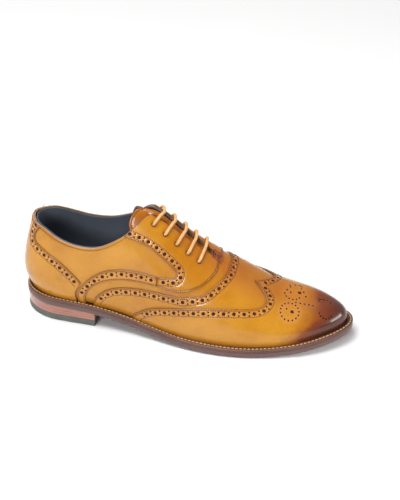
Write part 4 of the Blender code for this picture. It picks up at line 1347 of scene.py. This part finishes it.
def braided(name, line, radius):
    """A round braid along a line of points, spaced evenly."""
    steps = np.concatenate([[0], np.cumsum(np.linalg.norm(np.diff(line, axis=0), axis=1))])
    along = np.linspace(0, steps[-1], int(steps[-1] / BRAID_STEP))
    line = np.stack([np.interp(along, steps, line[:, k]) for k in range(3)], -1)
    for _ in range(6):
        line[1:-1] = (line[:-2] + 2 * line[1:-1] + line[2:]) / 4
    way = unit(np.gradient(line, axis=0))
    normal = unit(np.cross(way[0], (0.3, 0.5, 0.8)))
    rings = []
    angle = 2 * math.pi * np.arange(BRAID_SIDES) / BRAID_SIDES
    for k, at in enumerate(line):
        normal = unit(normal - way[k] * (normal @ way[k]))
        other = np.cross(way[k], normal)
        turn = 4 * math.pi * along[k] / BRAID_LAY
        weave = np.maximum(np.cos(BRAID_STRANDS * angle + turn), np.cos(BRAID_STRANDS * angle - turn))
        r = radius * (0.93 + 0.09 * np.clip(weave, -0.2, 1))[:, None]
        rings.append(at + r * (np.cos(angle)[:, None] * normal + np.sin(angle)[:, None] * other))
    return solid(name, np.vstack(rings), tube_faces(len(rings), BRAID_SIDES))


def make_lace():
    points = [HEEL.lay(HEEL.spot(side, x, t)[None], depth)[0] for side, x, t, depth in lace_route()]
    wear(braided("lace", smooth(points, 12), LACE_RADIUS), "lace_cord", "lace")


TACK_BACK = 187.5
TACK_FRONT = 198.5
TACK_HALF = 0.52  # rows on the map


def make_tack():
    """The bar tack: threads sewn over the foot of the opening, straight across, crossed and along."""
    corners = [(x, t) for x in (TACK_BACK, TACK_FRONT) for t in (-TACK_HALF, TACK_HALF)]
    ends = [((x, -TACK_HALF), (x, TACK_HALF)) for x in np.linspace(TACK_BACK, TACK_FRONT, 5)]
    ends += [(corners[a], corners[b]) for a, b in ((0, 3), (2, 1), (0, 2), (1, 3))]
    depth = OUTER + SKIN + 0.15
    runs = []
    for pair in ends:
        line = np.array([(float(grid_place(x, 1.0)[0]), b) for x, b in pair])
        runs.append((CREST, respaced(CREST, line, 0.6), depth))
    thread = stitches("throat_bar_tack", runs, 1.9, 1.9, 1.6)
    wear(thread, "thread", "throat_bar_tack", look="tack_thread")


make_sole()
make_heel()
make_sock()
make_lace()
make_tack()

# Nodes that stay as the CAD made them get their slot's material.
SLOTS = {row["node"]: row["material_slot"] for row in frame["record"].get("subparts", [])}
for node, thing in frame["nodes"].items():
    thing.data.materials.clear()
    thing.data.materials.append(LOOKS[SLOTS[node]])

# ---------------------------------------------------------------- floor, light and camera
FLOOR_REACH = 6000
FLOOR_TONES = ((0.92, 0.92, 0.92), (0.94, 0.94, 0.935))
SKY = (0.10, 0.42)  # its strength in front of the shoe and behind it
LIGHTS = {  # place, size and power
    "overhead": ((-0.4, -0.2, 1.7), (1.1, 1.1), 29.0),
    "toe_side": ((1.45, -0.15, 0.45), (0.95, 0.28), 10.0),
    "front": ((-0.5, -1.9, 0.9), (0.7, 0.7), 21.0),
}
LIT = Vector((0.0, 0.0, 0.05))
TARGET = Vector(world((154.0, 0.0, 50.0)))
AZIMUTH = math.radians(12.75)
ELEVATION = math.radians(34.6)
DISTANCE = 1.9764
FOCAL_LENGTH = 154.0
SHIFT = (0.0229, 0.0456)


def floor():
    corners = ((-1, -1, 0), (1, -1, 0), (1, 1, 0), (-1, 1, 0))
    thing = solid("floor", MIDDLE + FLOOR_REACH * np.array(corners), [(0, 1, 2, 3)])
    thing.location.z = -0.0001
    g = Graph("pale_floor")
    tones = g.mix(g.noise(3.0), *FLOOR_TONES)
    thing.data.materials.append(g.surface({"Base Color": tones, "Roughness": 0.6, "Specular IOR Level": 0.2}))


def soft_light(name, place, size, power):
    light = bpy.data.lights.new(name, "AREA")
    light.shape = "RECTANGLE"
    light.size, light.size_y = size
    light.energy = power
    thing = bpy.data.objects.new(name, light)
    thing.location = place
    thing.rotation_euler = (LIT - Vector(place)).to_track_quat("-Z", "Y").to_euler()
    bpy.context.scene.collection.objects.link(thing)


def sky():
    """White light from all round, weaker in front."""
    world_light = bpy.data.worlds.new("studio")
    world_light.use_nodes = True
    tree = world_light.node_tree
    background = tree.nodes["Background"]
    background.inputs["Color"].default_value = (1, 1, 1, 1)
    direction = tree.nodes.new("ShaderNodeSeparateXYZ")
    tree.links.new(tree.nodes.new("ShaderNodeTexCoord").outputs["Generated"], direction.inputs[0])
    strength = tree.nodes.new("ShaderNodeMapRange")
    strength.interpolation_type = "SMOOTHSTEP"
    for key, value in enumerate((-0.6, 0.6, *SKY), 1):
        strength.inputs[key].default_value = value
    tree.links.new(direction.outputs["Y"], strength.inputs["Value"])
    tree.links.new(strength.outputs["Result"], background.inputs["Strength"])
    bpy.context.scene.world = world_light


def camera():
    lens = bpy.data.cameras.new("camera")
    lens.sensor_width = 36.0
    lens.lens = FOCAL_LENGTH
    lens.shift_x, lens.shift_y = SHIFT
    lens.clip_end = 50.0
    level = math.cos(ELEVATION)
    back = Vector((math.sin(AZIMUTH) * level, -math.cos(AZIMUTH) * level, math.sin(ELEVATION)))
    thing = bpy.data.objects.new("camera", lens)
    thing.location = TARGET + back * DISTANCE
    thing.rotation_euler = back.to_track_quat("Z", "Y").to_euler()
    bpy.context.scene.collection.objects.link(thing)
    bpy.context.scene.camera = thing


floor()
for light_name, settings in LIGHTS.items():
    soft_light(light_name, *settings)
sky()
camera()
bpy.context.scene.view_settings.view_transform = "Standard"
